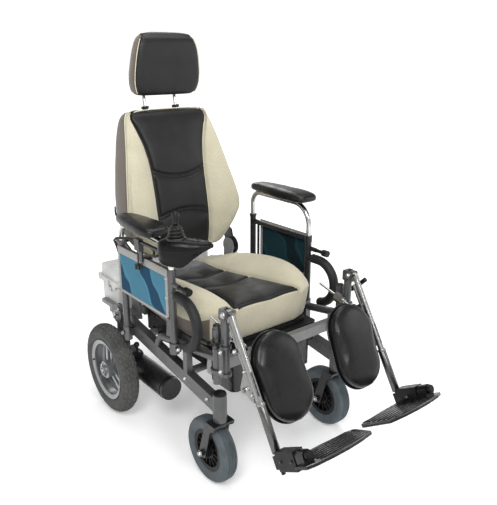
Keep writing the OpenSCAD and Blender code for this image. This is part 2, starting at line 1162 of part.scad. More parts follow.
module release_lever_l() {
    color(c_black)
        mid()
            difference() {
                union() {
                    rod([256, -300, 506], [258, -322, 524], 6);
                    rod([258, -322, 524], [260, -346, 548], 14);
                    pin_x(253.3, 259, -300, 506, 16);
                }
                pin_x(250, 262, -300, 506, 6 + 2 * gap);
            }
}

module release_lever_r() {
    color(c_black)
        mid()
            right()
                difference() {
                    union() {
                        rod([267, -300, 470], [267, -264, 466.5], 6);
                        rod([267, -266, 466.7], [267, -236, 463.4], 13.6);
                        pin_x(262, 271, -300, 470, 16);
                    }
                    pin_x(250, 280, -300, 470, 6 + 2 * gap);
                }
}

module half_leg_tube() {
    at_leg() {
        translate([0, -11, -340])
            cylinder(h = 332, r = 9);
        translate([0, 4.7, -226])
            cylinder(h = 196, r = 6.5);
        difference() {
            union() {
                pin_x(-6.8, 6.8, 0, 0, 24);
                block([-6.8, -19, -22], [6.8, 5.2, -2]);
            }
            pin_x(-12, 12, 0, 0, 10 + 2 * gap);
        }
        for (z = [-150, -212])
            block([-8, -14, z - 8], [8, 10, z]);
        plate_x(-2, 2, [[10, -159], [20, -159], [54, -193], [48, -206], [14, -239], [10, -239]]);
        pin_x(-107, 12, 34, -200, 12);
        block([-130, 3, -224], [-98, 40, -176]);
        block([-11, 2, -104], [11, 20, -92]);
        pin_x(-32, -4, 20, -98, 8);
    }
}

module leg_tube_l() {
    color(c_chrome)
        mid()
            difference() {
                half_leg_tube();
                half_calf_pad();
            }
}

module leg_tube_r() {
    color(c_chrome)
        mid()
            right()
                difference() {
                    half_leg_tube();
                    half_calf_pad();
                }
}

module half_calf_pad() {
    translate([140, -424, 394])
        rotate([-26.8, 0, 0])
            rotate([0, 3.8, 0])
                rotate([90, 0, 0])
                    translate([0, 0, -18])
                        linear_extrude(38)
                            round_rect(calf_w, calf_h, calf_w / 2 - 3);
}

module calf_pad_l() {
    color(c_leather)
        mid()
            half_calf_pad();
}

module calf_pad_r() {
    color(c_leather)
        mid()
            right()
                half_calf_pad();
}

module half_foot_slide() {
    at_leg() {
        difference() {
            translate([0, -11, -369])
                cylinder(h = 128, r = 11.4);
            translate([0, -11, -358])
                cylinder(h = 200, r = 9 + gap);
        }
        translate([0, -11, -424])
            cylinder(h = 60, d = 11);
        block([-17, -98, -411], [17, -24, -361]);
        block([-12, -26, -408], [12, -4, -374]);
        pin_y(0, -136, -96, -hinge_s, 20);
        pin_y(0, -142, -134, -hinge_s, 24);
    }
}

module foot_slide_l() {
    color(c_black)
        mid()
            half_foot_slide();
}

module foot_slide_r() {
    color(c_black)
        mid()
            right()
                half_foot_slide();
}

module half_footplate() {
    at_leg() {
        difference() {
            union() {
                translate([0, 0, -402])
                    linear_extrude(8)
                        polygon([
                            [-20, -38], [-120, -42], [-204, -54], [-218, -60], [-220, -70], [-199, 2 - plate_d],
                            [-150, -10 - plate_d], [-100, -15 - plate_d], [-50, -13 - plate_d], [0, -5 - plate_d],
                            [24, 5 - plate_d], [26, -101], [-20, -101]
                        ]);
                pin_y(0, -132, -102, -hinge_s, 30);
                block([-15, -132, -402], [15, -102, -hinge_s]);
            }
            pin_y(0, -170, -90, -hinge_s, 20 + 2 * gap);
        }
    }
}

module footplate_l() {
    color(c_black)
        mid()
            half_footplate();
}

module footplate_r() {
    color(c_black)
        mid()
            right()
                half_footplate();
}

// Direction of the leg strut from its leg eye back to its lock
strut_a = atan2(lock_z - eye_z, lock_y - eye_y);
strut_len = norm([lock_y - eye_y, lock_z - eye_z]);

// Places a child at the strut lock, +Y towards the rear end of the rod
module at_lock() {
    translate([rod_x, lock_y, lock_z])
        rotate([strut_a, 0, 0])
            children();
}

module half_strut_block() {
    at_lock()
        difference() {
            union() {
                block([-6.5, -16, -9], [9.5, 16, 9]);
                pin_y(0, -24, -15, 0, 13);
            }
            pin_y(0, -40, 40, 0, 8 + 2 * gap);
            pin_x(5.5, 20, 0, 0, 10 + 2 * gap);
        }
}

module strut_block_l() {
    color(c_silver)
        mid()
            half_strut_block();
}

module strut_block_r() {
    color(c_silver)
        mid()
            right()
                half_strut_block();
}

module half_strut_rod() {
    at_lock() {
        pin_y(0, -strut_len + 11.5, 86, 0, 8);
        difference() {
            pin_x(-5, 5, -strut_len, 0, 26);
            pin_x(-10, 10, -strut_len, 0, 19);
        }
    }
}

module strut_rod_l() {
    color(c_chrome)
        mid()
            half_strut_rod();
}

module strut_rod_r() {
    color(c_chrome)
        mid()
            right()
                half_strut_rod();
}

// ---- output ----

side_tubes();
front_frame();
cross_members();
seat_board();
controller_box();
battery_box();
battery_lid();
gearmotors();
arm_frame_l();
arm_frame_r();
arm_sockets();
side_guard_l();
side_guard_r();
arm_tube_l();
arm_tube_r();
arm_pad_l();
arm_pad_r();
arm_lock_l();
arm_lock_r();
grip_foams();
joystick_mount();
joystick_body();
joystick_boot();
joystick_knob();
joystick_cable();
back_frame();
back_shell();
back_cushion();
headrest_guides();
headrest_posts();
headrest_pad();
recline_cylinder();
recline_rod();
seat_cushion();
caster_fork_l();
caster_fork_r();
caster_hub_l();
caster_hub_r();
caster_tyre_l();
caster_tyre_r();
drive_rim_l();
drive_rim_r();
drive_tyre_l();
drive_tyre_r();
leg_hanger_l();
leg_hanger_r();
release_lever_l();
release_lever_r();
leg_tube_l();
leg_tube_r();
calf_pad_l();
calf_pad_r();
foot_slide_l();
foot_slide_r();
footplate_l();
footplate_r();
strut_block_l();
strut_block_r();
strut_rod_l();
strut_rod_r();
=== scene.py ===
import bpy
import bmesh
import math
import numpy as np
from mathutils import Matrix, Vector, noise


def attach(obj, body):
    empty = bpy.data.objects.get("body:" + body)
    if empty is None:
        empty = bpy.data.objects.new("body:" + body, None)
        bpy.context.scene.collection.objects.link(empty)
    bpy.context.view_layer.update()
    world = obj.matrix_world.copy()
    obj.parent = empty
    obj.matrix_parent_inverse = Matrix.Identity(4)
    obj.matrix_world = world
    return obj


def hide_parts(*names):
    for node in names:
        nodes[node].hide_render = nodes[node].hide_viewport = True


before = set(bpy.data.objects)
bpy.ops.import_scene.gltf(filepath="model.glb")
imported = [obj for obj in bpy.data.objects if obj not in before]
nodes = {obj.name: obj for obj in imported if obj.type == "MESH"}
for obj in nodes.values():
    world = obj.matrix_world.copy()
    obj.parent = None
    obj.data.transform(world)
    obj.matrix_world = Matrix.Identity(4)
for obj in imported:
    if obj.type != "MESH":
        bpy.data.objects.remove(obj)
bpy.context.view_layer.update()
scene = bpy.context.scene
scene.view_settings.view_transform = "Standard"
YS = 64.6
LEG, LEAN = math.radians(30.75), math.radians(10.6)
# Half spacing of the arm frames, and the places of the axles, leg hinge and calf pads, as in the CAD
ARM_X = 267
CASTER = (234, -223, 100)
DRIVE = (289, 300, 159)
LEG_X = 236
CALF = (140, -424, 394)


# ---- places: the chair's own frame is in mm, and the row frame is in metres ----
def W(x, y, z):
    return Vector((x / 1000, (y + YS) / 1000, z / 1000))


def turned(y0, z0, a):
    """A frame turned about X by -a at (y0, z0)."""
    c, s = math.cos(a), math.sin(a)
    return lambda x, y, z: W(x, y0 + y * c + z * s, z0 - y * s + z * c)


BACK = turned(265, 520, LEAN)
LEGF = turned(-312, 560, LEG)
HEAD = turned(424, 1077, -math.radians(6.5))


def stick(x, y, z):
    a = math.radians(-45.6)
    return W(-277 + x * math.cos(a) - y * math.sin(a), -136.9 + x * math.sin(a) + y * math.cos(a), z + 16)


def side(f, m):
    """The frame f mirrored for the right side where m is -1."""
    return lambda x, y, z: f(m * x, y, z)


def spun(f, centre, t):
    """The frame f turned by t about the X line through a centre."""
    cx, cy, cz = centre
    c, s = math.cos(t), math.sin(t)
    return lambda x, y, z: f(cx + x, cy + y * c - z * s, cz + y * s + z * c)


def skin(rows, n):
    """Quads between closed rings of n vertices."""
    return [
        [j * n + i, j * n + (i + 1) % n, (j + 1) * n + (i + 1) % n, (j + 1) * n + i]
        for j in range(rows - 1)
        for i in range(n)
    ]


def ends(rows, n):
    """One face over the first ring and one over the last."""
    return [list(range(n))[::-1], [(rows - 1) * n + i for i in range(n)]]


# ---- materials ----
def material(name, color, rough, metal=0.0, **sockets):
    m = bpy.data.materials.new(name)
    m.use_nodes = True
    b = m.node_tree.nodes["Principled BSDF"]
    b.inputs["Base Color"].default_value = (*color, 1)
    b.inputs["Roughness"].default_value = rough
    b.inputs["Metallic"].default_value = metal
    for k, v in sockets.items():
        b.inputs[k.replace("_", " ")].default_value = v
    m.diffuse_color = (*color, 1)
    return m


def tex(m, kind, scale, **kw):
    t = m.node_tree
    n = t.nodes.new("ShaderNodeTex" + kind)
    c = t.nodes.new("ShaderNodeTexCoord")
    t.links.new(c.outputs["Object"], n.inputs["Vector"])
    n.inputs["Scale"].default_value = scale
    for k, v in kw.items():
        if k in ("feature", "wave_type", "bands_direction"):
            setattr(n, k, v)
        else:
            n.inputs[k].default_value = v
    return n.outputs[0]


def ramp(m, src, stops, interp="LINEAR"):
    n = m.node_tree.nodes.new("ShaderNodeValToRGB")
    n.color_ramp.interpolation = interp
    e = n.color_ramp.elements
    while len(e) < len(stops):
        e.new(0.5)
    for i, (p, c) in enumerate(stops):
        e[i].position = p
        e[i].color = (*c, 1) if len(c) == 3 else (c[0],) * 3 + (1,)
    m.node_tree.links.new(src, n.inputs[0])
    return n.outputs[0]


def mixc(m, a, b, fac, kind="MULTIPLY"):
    n = m.node_tree.nodes.new("ShaderNodeMix")
    n.data_type = "RGBA"
    n.blend_type = kind
    for k, v in ((0, fac), (6, a), (7, b)):
        if isinstance(v, (int, float)):
            n.inputs[k].default_value = v
        elif isinstance(v, tuple):
            n.inputs[k].default_value = (*v, 1)
        else:
            m.node_tree.links.new(v, n.inputs[k])
    return n.outputs[2]


def paint_in(m, socket, src):
    m.node_tree.links.new(src, m.node_tree.nodes["Principled BSDF"].inputs[socket])


def bump(m, src, strength, dist, chain=None):
    n = m.node_tree.nodes.new("ShaderNodeBump")
    n.inputs["Strength"].default_value = strength
    n.inputs["Distance"].default_value = dist
    m.node_tree.links.new(src, n.inputs["Height"])
    if chain is not None:
        m.node_tree.links.new(chain, n.inputs["Normal"])
    paint_in(m, "Normal", n.outputs[0])
    return n.outputs[0]


def grade(m, color, lo, hi, scale, detail=4.0):
    """Slow variation of the base colour between lo and hi times itself."""
    s = tex(m, "Noise", scale, Detail=detail)
    a = tuple(min(1, c * lo) for c in color)
    b = tuple(min(1, c * hi) for c in color)
    out = ramp(m, s, [(0.32, a), (0.68, b)])
    paint_in(m, "Base Color", out)
    return out


def rough_map(m, lo, hi, scale):
    s = tex(m, "Noise", scale, Detail=5.0)
    paint_in(m, "Roughness", ramp(m, s, [(0.35, (lo,)), (0.65, (hi,))]))


def leather(name, color, rough, grain=0.35):
    m = material(name, color, rough, Coat_Weight=0.03, Coat_Roughness=0.3, Specular_IOR_Level=0.25)
    grade(m, color, 0.82, 1.18, 22)
    rough_map(m, rough - 0.04, rough + 0.05, 30)
    n = bump(m, tex(m, "Noise", 34, Detail=2.0), 0.14, 0.0012)
    bump(m, tex(m, "Voronoi", 620, feature="DISTANCE_TO_EDGE"), grain, 0.0005, n)
    return m


def woven(name, color, lo=0.78, hi=1.08):
    m = material(name, color, 0.92, Sheen_Weight=0.25, Sheen_Roughness=0.5, Specular_IOR_Level=0.2)
    base = grade(m, color, 0.93, 1.05, 14)
    v = tex(m, "Voronoi", 520)
    thread = ramp(m, v, [(0.0, (hi,)), (0.75, (lo,))])
    paint_in(m, "Base Color", mixc(m, base, thread, 1.0))
    n = bump(m, tex(m, "Noise", 26, Detail=2.0), 0.2, 0.0015)
    bump(m, v, 0.5, 0.0008, n)
    return m


def powder(name, color, rough=0.38, metal=0.35):
    m = material(name, color, rough, metal, Coat_Weight=0.15, Coat_Roughness=0.25)
    grade(m, color, 0.88, 1.12, 9)
    rough_map(m, rough - 0.07, rough + 0.09, 45)
    bump(m, tex(m, "Noise", 900, Detail=2.0), 0.12, 0.0004)
    return m


def metal(name, color, rough):
    m = material(name, color, rough, 1.0)
    grade(m, color, 0.9, 1.05, 16)
    rough_map(m, max(0.04, rough - 0.05), rough + 0.07, 60)
    bump(m, tex(m, "Noise", 250, Detail=2.0), 0.05, 0.0003)
    return m


def moulded(name, color, rough=0.45, grain=0.18, spec=0.2):
    m = material(name, color, rough, 0.0, Specular_IOR_Level=spec)
    grade(m, color, 0.85, 1.15, 15)
    rough_map(m, rough - 0.06, rough + 0.1, 70)
    bump(m, tex(m, "Noise", 1300, Detail=2.0), grain, 0.0004)
    return m


def rubber(name, color, rough=0.72):
    m = material(name, color, rough, 0.0, Specular_IOR_Level=0.35)
    grade(m, color, 0.78, 1.2, 26)
    bump(m, tex(m, "Noise", 420, Detail=4.0), 0.3, 0.0008)
    return m


def camo(name, shades):
    """Slanted blots about 200 mm apart, with wandering edges."""
    m = material(name, shades[1], 0.8, Specular_IOR_Level=0.15)
    t = m.node_tree
    along = t.nodes.new("ShaderNodeVectorMath")
    along.operation = "DOT_PRODUCT"
    along.inputs[1].default_value = (0, 30, -18)
    t.links.new(t.nodes.new("ShaderNodeTexCoord").outputs["Object"], along.inputs[0])
    wander = t.nodes.new("ShaderNodeMath")
    wander.operation = "MULTIPLY_ADD"
    t.links.new(tex(m, "Noise", 11.0, Detail=0.8), wander.inputs[0])
    wander.inputs[1].default_value = 3.0
    t.links.new(along.outputs["Value"], wander.inputs[2])
    wave = t.nodes.new("ShaderNodeMath")
    wave.operation = "COSINE"
    t.links.new(wander.outputs[0], wave.inputs[0])
    base, dark, light = shades
    blot = ramp(m, wave.outputs[0], [(0.0, base), (0.18, light), (0.36, base), (0.55, dark)], "CONSTANT")
    v = tex(m, "Voronoi", 430)
    hole = ramp(m, v, [(0.0, (0.55,)), (0.35, (1.0,))])
    paint_in(m, "Base Color", mixc(m, blot, hole, 1.0))
    bump(m, v, 0.45, 0.0008)
    return m


M = {
    "frame": powder("gunmetal_paint", (0.085, 0.086, 0.088), 0.34, 0.6),
    "grey": powder("grey_paint", (0.20, 0.20, 0.20), 0.4, 0.4),
    "black": powder("black_paint", (0.007, 0.007, 0.008), 0.32, 0.1),
    "case": moulded("case_grey", (0.55, 0.55, 0.54), 0.42),
    "plated": metal("plated_metal", (0.42, 0.42, 0.42), 0.28),
    "steel": metal("leg_steel", (0.27, 0.27, 0.265), 0.3),
    "post": metal("foot_steel", (0.125, 0.125, 0.123), 0.3),
    "rim": powder("rim_silver", (0.27, 0.275, 0.28), 0.34, 0.7),
    "chrome": metal("chrome_plate", (0.52, 0.52, 0.52), 0.12),
    "leather": leather("black_leather", (0.009, 0.009, 0.009), 0.4),
    "pad": leather("black_vinyl", (0.008, 0.008, 0.0085), 0.3, 0.08),
    "plastic": moulded("black_plastic", (0.0075, 0.0075, 0.008), 0.34),
    "stick": moulded("joystick_black", (0.004, 0.004, 0.0045), 0.26, 0.04, 0.16),
    "gloss": moulded("gloss_black", (0.006, 0.006, 0.007), 0.25, 0.0, 0.4),
    "foam": rubber("black_foam", (0.009, 0.009, 0.0095), 0.6),
    "cream": woven("cream_weave", (0.50, 0.465, 0.345)),
    "taupe": woven("taupe_weave", (0.125, 0.102, 0.081)),
    "piping": woven("cream_piping", (0.60, 0.57, 0.44)),
    "hem": woven("grey_webbing", (0.33, 0.32, 0.30), 0.7, 1.1),
    "guard": camo("camo_mesh_blue", [(0.055, 0.175, 0.255), (0.009, 0.048, 0.095), (0.07, 0.205, 0.28)]),
    # Dark teal copy of the blue camo mesh as painted shade: the same fabric darkened for the far guard, which stands
    # in shadow
    "guard_in": camo("camo_mesh_painted_shade", [(0.008, 0.03, 0.04), (0.004, 0.013, 0.017), (0.01, 0.05, 0.066)]),
    "caster": rubber("caster_rubber", (0.066, 0.082, 0.09), 0.6),
    "tyre": rubber("tyre_rubber", (0.062, 0.062, 0.06), 0.75),
    "edge": powder("edge_trim", (0.05, 0.05, 0.05), 0.3, 0.6),
    "bright": metal("bright_edge", (0.5, 0.5, 0.5), 0.25),
}

LOOK = {
    "frame": "side_tubes front_frame arm_frame_r leg_hanger_l leg_hanger_r recline_cylinder",
    "grey": "cross_members",
    "black": "joystick_mount seat_board controller_box gearmotors arm_frame_l back_frame"
    " caster_fork_l caster_fork_r",
    "case": "battery_box battery_lid",
    "plated": "strut_block_l strut_block_r",
    "rim": "drive_rim_l drive_rim_r",
    "guard": "side_guard_l side_guard_r",
    "chrome": "arm_tube_l arm_tube_r headrest_posts recline_rod strut_rod_l strut_rod_r",
    "steel": "leg_tube_l leg_tube_r",
    "post": "arm_sockets",
    "gloss": "footplate_l footplate_r",
    "leather": "arm_pad_l arm_pad_r headrest_pad calf_pad_l calf_pad_r back_cushion seat_cushion",
    "plastic": "arm_lock_l arm_lock_r joystick_body joystick_knob joystick_boot headrest_guides"
    " caster_hub_l caster_hub_r"
    " release_lever_l release_lever_r foot_slide_l foot_slide_r",
    "foam": "grip_foams joystick_cable",
    "taupe": "back_shell",
    "caster": "caster_tyre_l caster_tyre_r",
    "tyre": "drive_tyre_l drive_tyre_r",
}
for key, names in LOOK.items():
    for n in names.split():
        o = nodes[n]
        o.data.materials.clear()
        o.data.materials.append(M[key])


# ---- mesh building ----
def smooth_edges(o, angle=38):
    o.data.polygons.foreach_set("use_smooth", [True] * len(o.data.polygons))
    o.data.set_sharp_from_angle(angle=math.radians(angle))


for o in nodes.values():
    bm = bmesh.new()
    bm.from_mesh(o.data)
    sharp = [e.index for e in bm.edges if len(e.link_faces) == 2 and e.calc_face_angle(0) > 0.6]
    bm.free()
    o.data.polygons.foreach_set("use_smooth", [True] * len(o.data.polygons))
    flags = np.zeros(len(o.data.edges), bool)
    flags[sharp] = True
    a = o.data.attributes.get("sharp_edge") or o.data.attributes.new("sharp_edge", "BOOLEAN", "EDGE")
    a.data.foreach_set("value", flags)


def piece(name, verts, faces, mats, body, cad=(), idx=None, sharp=40):
    me = bpy.data.meshes.new(name)
    me.from_pydata([tuple(v) for v in verts], [], faces)
    for m in mats if isinstance(mats, (list, tuple)) else [mats]:
        me.materials.append(M[m])
    if idx is not None:
        me.polygons.foreach_set("material_index", idx)
    me.validate()
    o = bpy.data.objects.new(name, me)
    scene.collection.objects.link(o)
    bm = bmesh.new()
    bm.from_mesh(me)
    bmesh.ops.recalc_face_normals(bm, faces=bm.faces)
    bm.to_mesh(me)
    bm.free()
    if sharp is None:
        me.polygons.foreach_set("use_smooth", [True] * len(me.polygons))
    else:
        smooth_edges(o, sharp)
    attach(o, body)
    if cad:
        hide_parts(*([cad] if isinstance(cad, str) else cad))
    return o


class Kit:
    """Collects small solid bits that share a body and a material into one piece."""

    def __init__(self):
        self.v, self.f = [], []

    def add(self, verts, faces):
        k = len(self.v)
        self.v += verts
        self.f += [[i + k for i in f] for f in faces]

    def lathe(self, p, q, prof, n=24, squash=1.0):
        """prof: (distance along p to q as a share, radius in m), closed at both ends on the axis."""
        d = q - p
        z = d.normalized()
        x = z.orthogonal().normalized()
        y = z.cross(x)
        vs = []
        for t, r in prof:
            for i in range(n):
                a = 2 * math.pi * i / n
                vs.append(p + d * t + (x * math.cos(a) + y * math.sin(a) * squash) * r)
        self.add(vs, skin(len(prof), n) + ends(len(prof), n))

    def cyl(self, p, q, r, n=20, ch=0.0):
        L = (q - p).length
        c = min(ch, r * 0.45, L * 0.45) / L if ch else 0
        prof = [(0, r), (1, r)] if not ch else [(0, r - c * L), (c, r), (1 - c, r), (1, r - c * L)]
        self.lathe(p, q, prof, n)

    def hexbolt(self, p, d, r=0.0065, h=0.005, washer=True):
        d = d.normalized()
        if washer:
            self.cyl(p, p + d * 0.0012, r * 1.25, 20)
            p = p + d * 0.0012
        self.lathe(p, p + d * h, [(0, r), (0.75, r), (1, r * 0.82)], 6)

    def box(self, f, a, b, ch=0.6):
        """Chamfered box between corners a and b (mm) in the frame f."""
        lo = [min(i, j) for i, j in zip(a, b)]
        hi = [max(i, j) for i, j in zip(a, b)]
        bm = bmesh.new()
        vs = [bm.verts.new((x, y, z)) for x in (lo[0], hi[0]) for y in (lo[1], hi[1]) for z in (lo[2], hi[2])]
        bmesh.ops.convex_hull(bm, input=vs)
        bmesh.ops.dissolve_limit(bm, angle_limit=0.01, verts=bm.verts, edges=bm.edges)
        if ch:
            bmesh.ops.bevel(bm, geom=bm.edges[:], offset=ch, segments=2, affect="EDGES", profile=0.5)
        bm.verts.index_update()
        self.add([f(*v.co) for v in bm.verts], [[v.index for v in p.verts] for p in bm.faces])
        bm.free()

    def tube(self, pts, r, n=10, closed=False):
        """Round tube through points (m); r is one radius or one per point."""
        P = [Vector(p) for p in pts]
        m = len(P)
        rs = r if isinstance(r, (list, tuple)) else [r] * m
        vs, fs = [], []
        ref = None
        for i in range(m):
            t = (P[(i + 1) % m] - P[i - 1]) if closed else (P[min(i + 1, m - 1)] - P[max(i - 1, 0)])
            t.normalize()
            if ref is None:
                ref = t.orthogonal().normalized()
            ref = (ref - t * ref.dot(t)).normalized()
            b = t.cross(ref)
            turns = [2 * math.pi * k / n for k in range(n)]
            vs += [P[i] + (ref * math.cos(a) + b * math.sin(a)) * rs[i] for a in turns]
        for j in range(m if closed else m - 1):
            j2 = (j + 1) % m
            fs += [[j * n + k, j * n + (k + 1) % n, j2 * n + (k + 1) % n, j2 * n + k] for k in range(n)]
        if not closed:
            fs += ends(m, n)
        self.add(vs, fs)

    def make(self, name, mat, body, cad=(), slot=None, sharp=40):
        return piece(name, self.v, self.f, mat, body, cad, sharp=sharp)


def spline(pts, n):
    """Catmull-Rom through pts, n steps a span. Returns points and their span parameter."""
    P = [np.array(p, float) for p in pts]
    out, par = [], []
    for i in range(len(P) - 1):
        a = P[i - 1] if i else 2 * P[0] - P[1]
        b, c = P[i], P[i + 1]
        d = P[i + 2] if i + 2 < len(P) else 2 * P[-1] - P[-2]
        for k in range(n):
            t = k / n
            square, cube = 2 * a - 5 * b + 4 * c - d, 3 * b - a - 3 * c + d
            out.append(0.5 * (2 * b + (c - a) * t + square * t * t + cube * t ** 3))
            par.append(i + t)
    out.append(P[-1])
    par.append(len(P) - 1)
    return out, par


def table(keys, rows, t):
    """Smooth values of a table of rows at key t."""
    k = np.array(keys, float)
    R = np.array(rows, float)
    i = int(np.clip(np.searchsorted(k, t) - 1, 0, len(k) - 2))
    u = (t - k[i]) / (k[i + 1] - k[i])

    def slope(j):
        if j == 0:
            return (R[1] - R[0]) / (k[1] - k[0])
        if j == len(k) - 1:
            return (R[-1] - R[-2]) / (k[-1] - k[-2])
        return (R[j + 1] - R[j - 1]) / (k[j + 1] - k[j - 1])

    h = k[i + 1] - k[i]
    u = float(np.clip(u, 0, 1))
    return (
        (2 * u**3 - 3 * u**2 + 1) * R[i]
        + (u**3 - 2 * u**2 + u) * h * slope(i)
        + (-2 * u**3 + 3 * u**2) * R[i + 1]
        + (u**3 - u**2) * h * slope(i + 1)
    )


def loft(rings, par, zone):
    """Closed rings to faces. zone(column parameters, row) gives each face's material index."""
    n = len(rings[0])
    vs = [v for r in rings for v in r]
    ix = [zone(par[i], par[(i + 1) % n], j) for j in range(len(rings) - 1) for i in range(n)]
    return vs, skin(len(rings), n), ix


def near_line(P, line):
    """Distance of each point to a polyline, in m."""
    P = np.array(P)
    L = np.array(line)
    best = np.full(len(P), 1e9)
    for a, b in zip(L[:-1], L[1:]):
        ab = b - a
        t = np.clip(((P - a) @ ab) / max(ab @ ab, 1e-12), 0, 1)
        best = np.minimum(best, np.linalg.norm(P - (a + t[:, None] * ab), axis=1))
    return best


def vertex_normals(o):
    n = np.zeros(len(o.data.vertices) * 3, np.float32)
    o.data.vertices.foreach_get("normal", n)
    return n.reshape(-1, 3)


def coords(o):
    c = np.zeros(len(o.data.vertices) * 3, np.float32)
    o.data.vertices.foreach_get("co", c)
    return c.reshape(-1, 3).astype(float)


def set_coords(o, c):
    o.data.vertices.foreach_set("co", np.asarray(c, np.float32).ravel())
    o.data.update()


def sew(o, lines, depth=0.003, width=0.0035):
    """Presses sewn seams into a finished mesh along polylines (m)."""
    c, n = coords(o), vertex_normals(o)
    for L in lines:
        d = near_line(c, [tuple(p) for p in L])
        c -= n * (depth * np.exp(-((d / width) ** 2)))[:, None]
    set_coords(o, c)


def puff(o, cap, voxel=0.005, pressure=4.0, smooth=14):
    """Swells a closed shape with cloth pressure, capped, and applies it."""
    md = o.modifiers.new("vox", "REMESH")
    md.mode = "VOXEL"
    md.voxel_size = voxel
    dg = bpy.context.evaluated_depsgraph_get()
    me = bpy.data.meshes.new_from_object(o.evaluated_get(dg))
    o.modifiers.clear()
    o.data = me
    rest = coords(o)
    cl = o.modifiers.new("cloth", "CLOTH")
    s = cl.settings
    s.quality = 4
    s.mass = 0.3
    s.use_pressure = True
    s.uniform_pressure_force = pressure
    s.tension_stiffness = 12
    s.compression_stiffness = 12
    s.shear_stiffness = 6
    s.bending_stiffness = 0.6
    s.effector_weights.gravity = 0
    cl.point_cache.frame_start = 1
    cl.point_cache.frame_end = 20
    for f in range(1, 21):
        scene.frame_set(f)
    dg = bpy.context.evaluated_depsgraph_get()
    c = coords(o.evaluated_get(dg))
    o.modifiers.clear()
    move = c - rest
    L = np.linalg.norm(move, axis=1)
    k = np.where(L > 1e-9, np.minimum(L, cap) / np.maximum(L, 1e-9), 0)
    move = move * k[:, None]
    e = np.empty(len(o.data.edges) * 2, np.int32)
    o.data.edges.foreach_get("vertices", e)
    a, b = e[::2], e[1::2]
    n = len(move)
    deg = np.maximum(np.bincount(e, minlength=n), 1)
    for _ in range(smooth):
        acc = np.stack([np.bincount(a, move[b, i], n) + np.bincount(b, move[a, i], n) for i in range(3)], 1)
        move = 0.4 * move + 0.6 * acc / deg[:, None]
    set_coords(o, rest + move)
    scene.frame_set(1)


def relax(o, times, factor=0.5):
    md = o.modifiers.new("relax", "SMOOTH")
    md.iterations = times
    md.factor = factor
    dg = bpy.context.evaluated_depsgraph_get()
    me = bpy.data.meshes.new_from_object(o.evaluated_get(dg))
    o.modifiers.clear()
    o.data = me


# ---- seat back: black centre, cream bolsters, taupe sides ----
# height: panel half width, panel depth, crest x, crest depth, edge x, edge depth, rear x, rear depth
BK = [34, 60, 100, 156, 230, 310, 385, 440, 480, 499, 508]
BR = [
    [98, -24, 128, -26, 148, -12, 140, 44],
    [99, -31, 146, -40, 172, -22, 164, 52],
    [100, -40, 172, -60, 196, -40, 188, 57],
    [101, -45, 198, -78, 219, -56, 205, 60],
    [102, -46, 196, -72, 211, -52, 203, 60],
    [104, -45, 178, -60, 196, -42, 192, 60],
    [114, -41, 162, -48, 181, -32, 178, 60],
    [130, -35, 154, -38, 170, -22, 167, 58],
    [146, -28, 152, -28, 160, -12, 156, 54],
    [143, -20, 147, -18, 150, -4, 146, 46],
    [132, -10, 136, -8, 139, 4, 135, 36],
]


def back_ring(h, shrink=0.0, dh=0.0):
    pw, pv, cx, cv, ex, ev, rx, rv = table(BK, BR, h)
    crown = 5.0
    half = [
        (0, pv - crown), (pw * 0.5, pv - crown * 0.8), (pw * 0.86, pv - crown * 0.3), (pw, pv + 1.5),
        (pw + (cx - pw) * 0.5, pv + (cv - pv) * 0.62 - 3), (cx, cv),
        (cx + (ex - cx) * 0.75, cv + (ev - cv) * 0.45),
        (ex, ev), (ex + 1, ev + (rv - ev) * 0.5), (rx, rv - 10), (rx - 14, rv), (rx * 0.5, rv + 1), (0, rv + 1),
    ]
    pts, par = spline(half, 9)
    mv = (pv + rv) / 2
    pts = [(p[0] * (1 - shrink), mv + (p[1] - mv) * (1 - shrink)) for p in pts]
    ring = [BACK(x, v, h + dh) for x, v in pts] + [BACK(-x, v, h + dh) for x, v in pts[-2:0:-1]]
    return ring, par + par[-2:0:-1]


rows = list(np.linspace(34, 508, 160))
rings, par = [], None
for k, (s, d) in enumerate([(0.985, -1), (0.6, -9), (0.3, -8), (0.08, -5), (0.0, 0)]):
    r, par = back_ring(34, s, d)
    rings.append(r)
for h in rows[1:]:
    r, par = back_ring(h)
    rings.append(r)
for s, d in [(0.06, 1.6), (0.16, 2.6), (0.32, 3.2), (0.55, 3.4), (0.8, 3.4), (0.985, 3.4)]:
    r, par = back_ring(508, s, d)
    rings.append(r)


def back_zone(a, b, j):
    s = max(a, b)
    if j >= len(rings) - 6:
        return 0 if j < len(rings) - 5 and s <= 3.001 else 2
    return 0 if s <= 3.001 else 1 if s <= 7.001 else 2


vs, fs, ix = loft(rings, par, back_zone)
stands_for = ("back_cushion", "back_shell")
back = piece("back_cover", vs, fs, ["leather", "cream", "taupe"], "back", stands_for, ix, None)


def back_line(col, h0, h1, n=60, m=1, lift=0.0):
    """Points on the back's surface along one seam column."""
    out = []
    for h in np.linspace(h0, h1, n):
        pw, pv, cx, cv, ex, ev, rx, rv = table(BK, BR, h)
        out.append(BACK(m * (pw if col == 3 else ex), (pv + 1.5 if col == 3 else ev) - lift, h))
    return out


def cross_line(f, x1, n=41, dv=0.0):
    """A seam across the black panel at height f(x)."""
    out = []
    for x in np.linspace(-x1, x1, n):
        h = f(x)
        pw, pv, *_ = table(BK, BR, h)
        u = min(1.0, abs(x) / pw)
        out.append(BACK(x, pv + 1.5 - 6.5 * (1 - u**2.6) + dv, h))
    return out


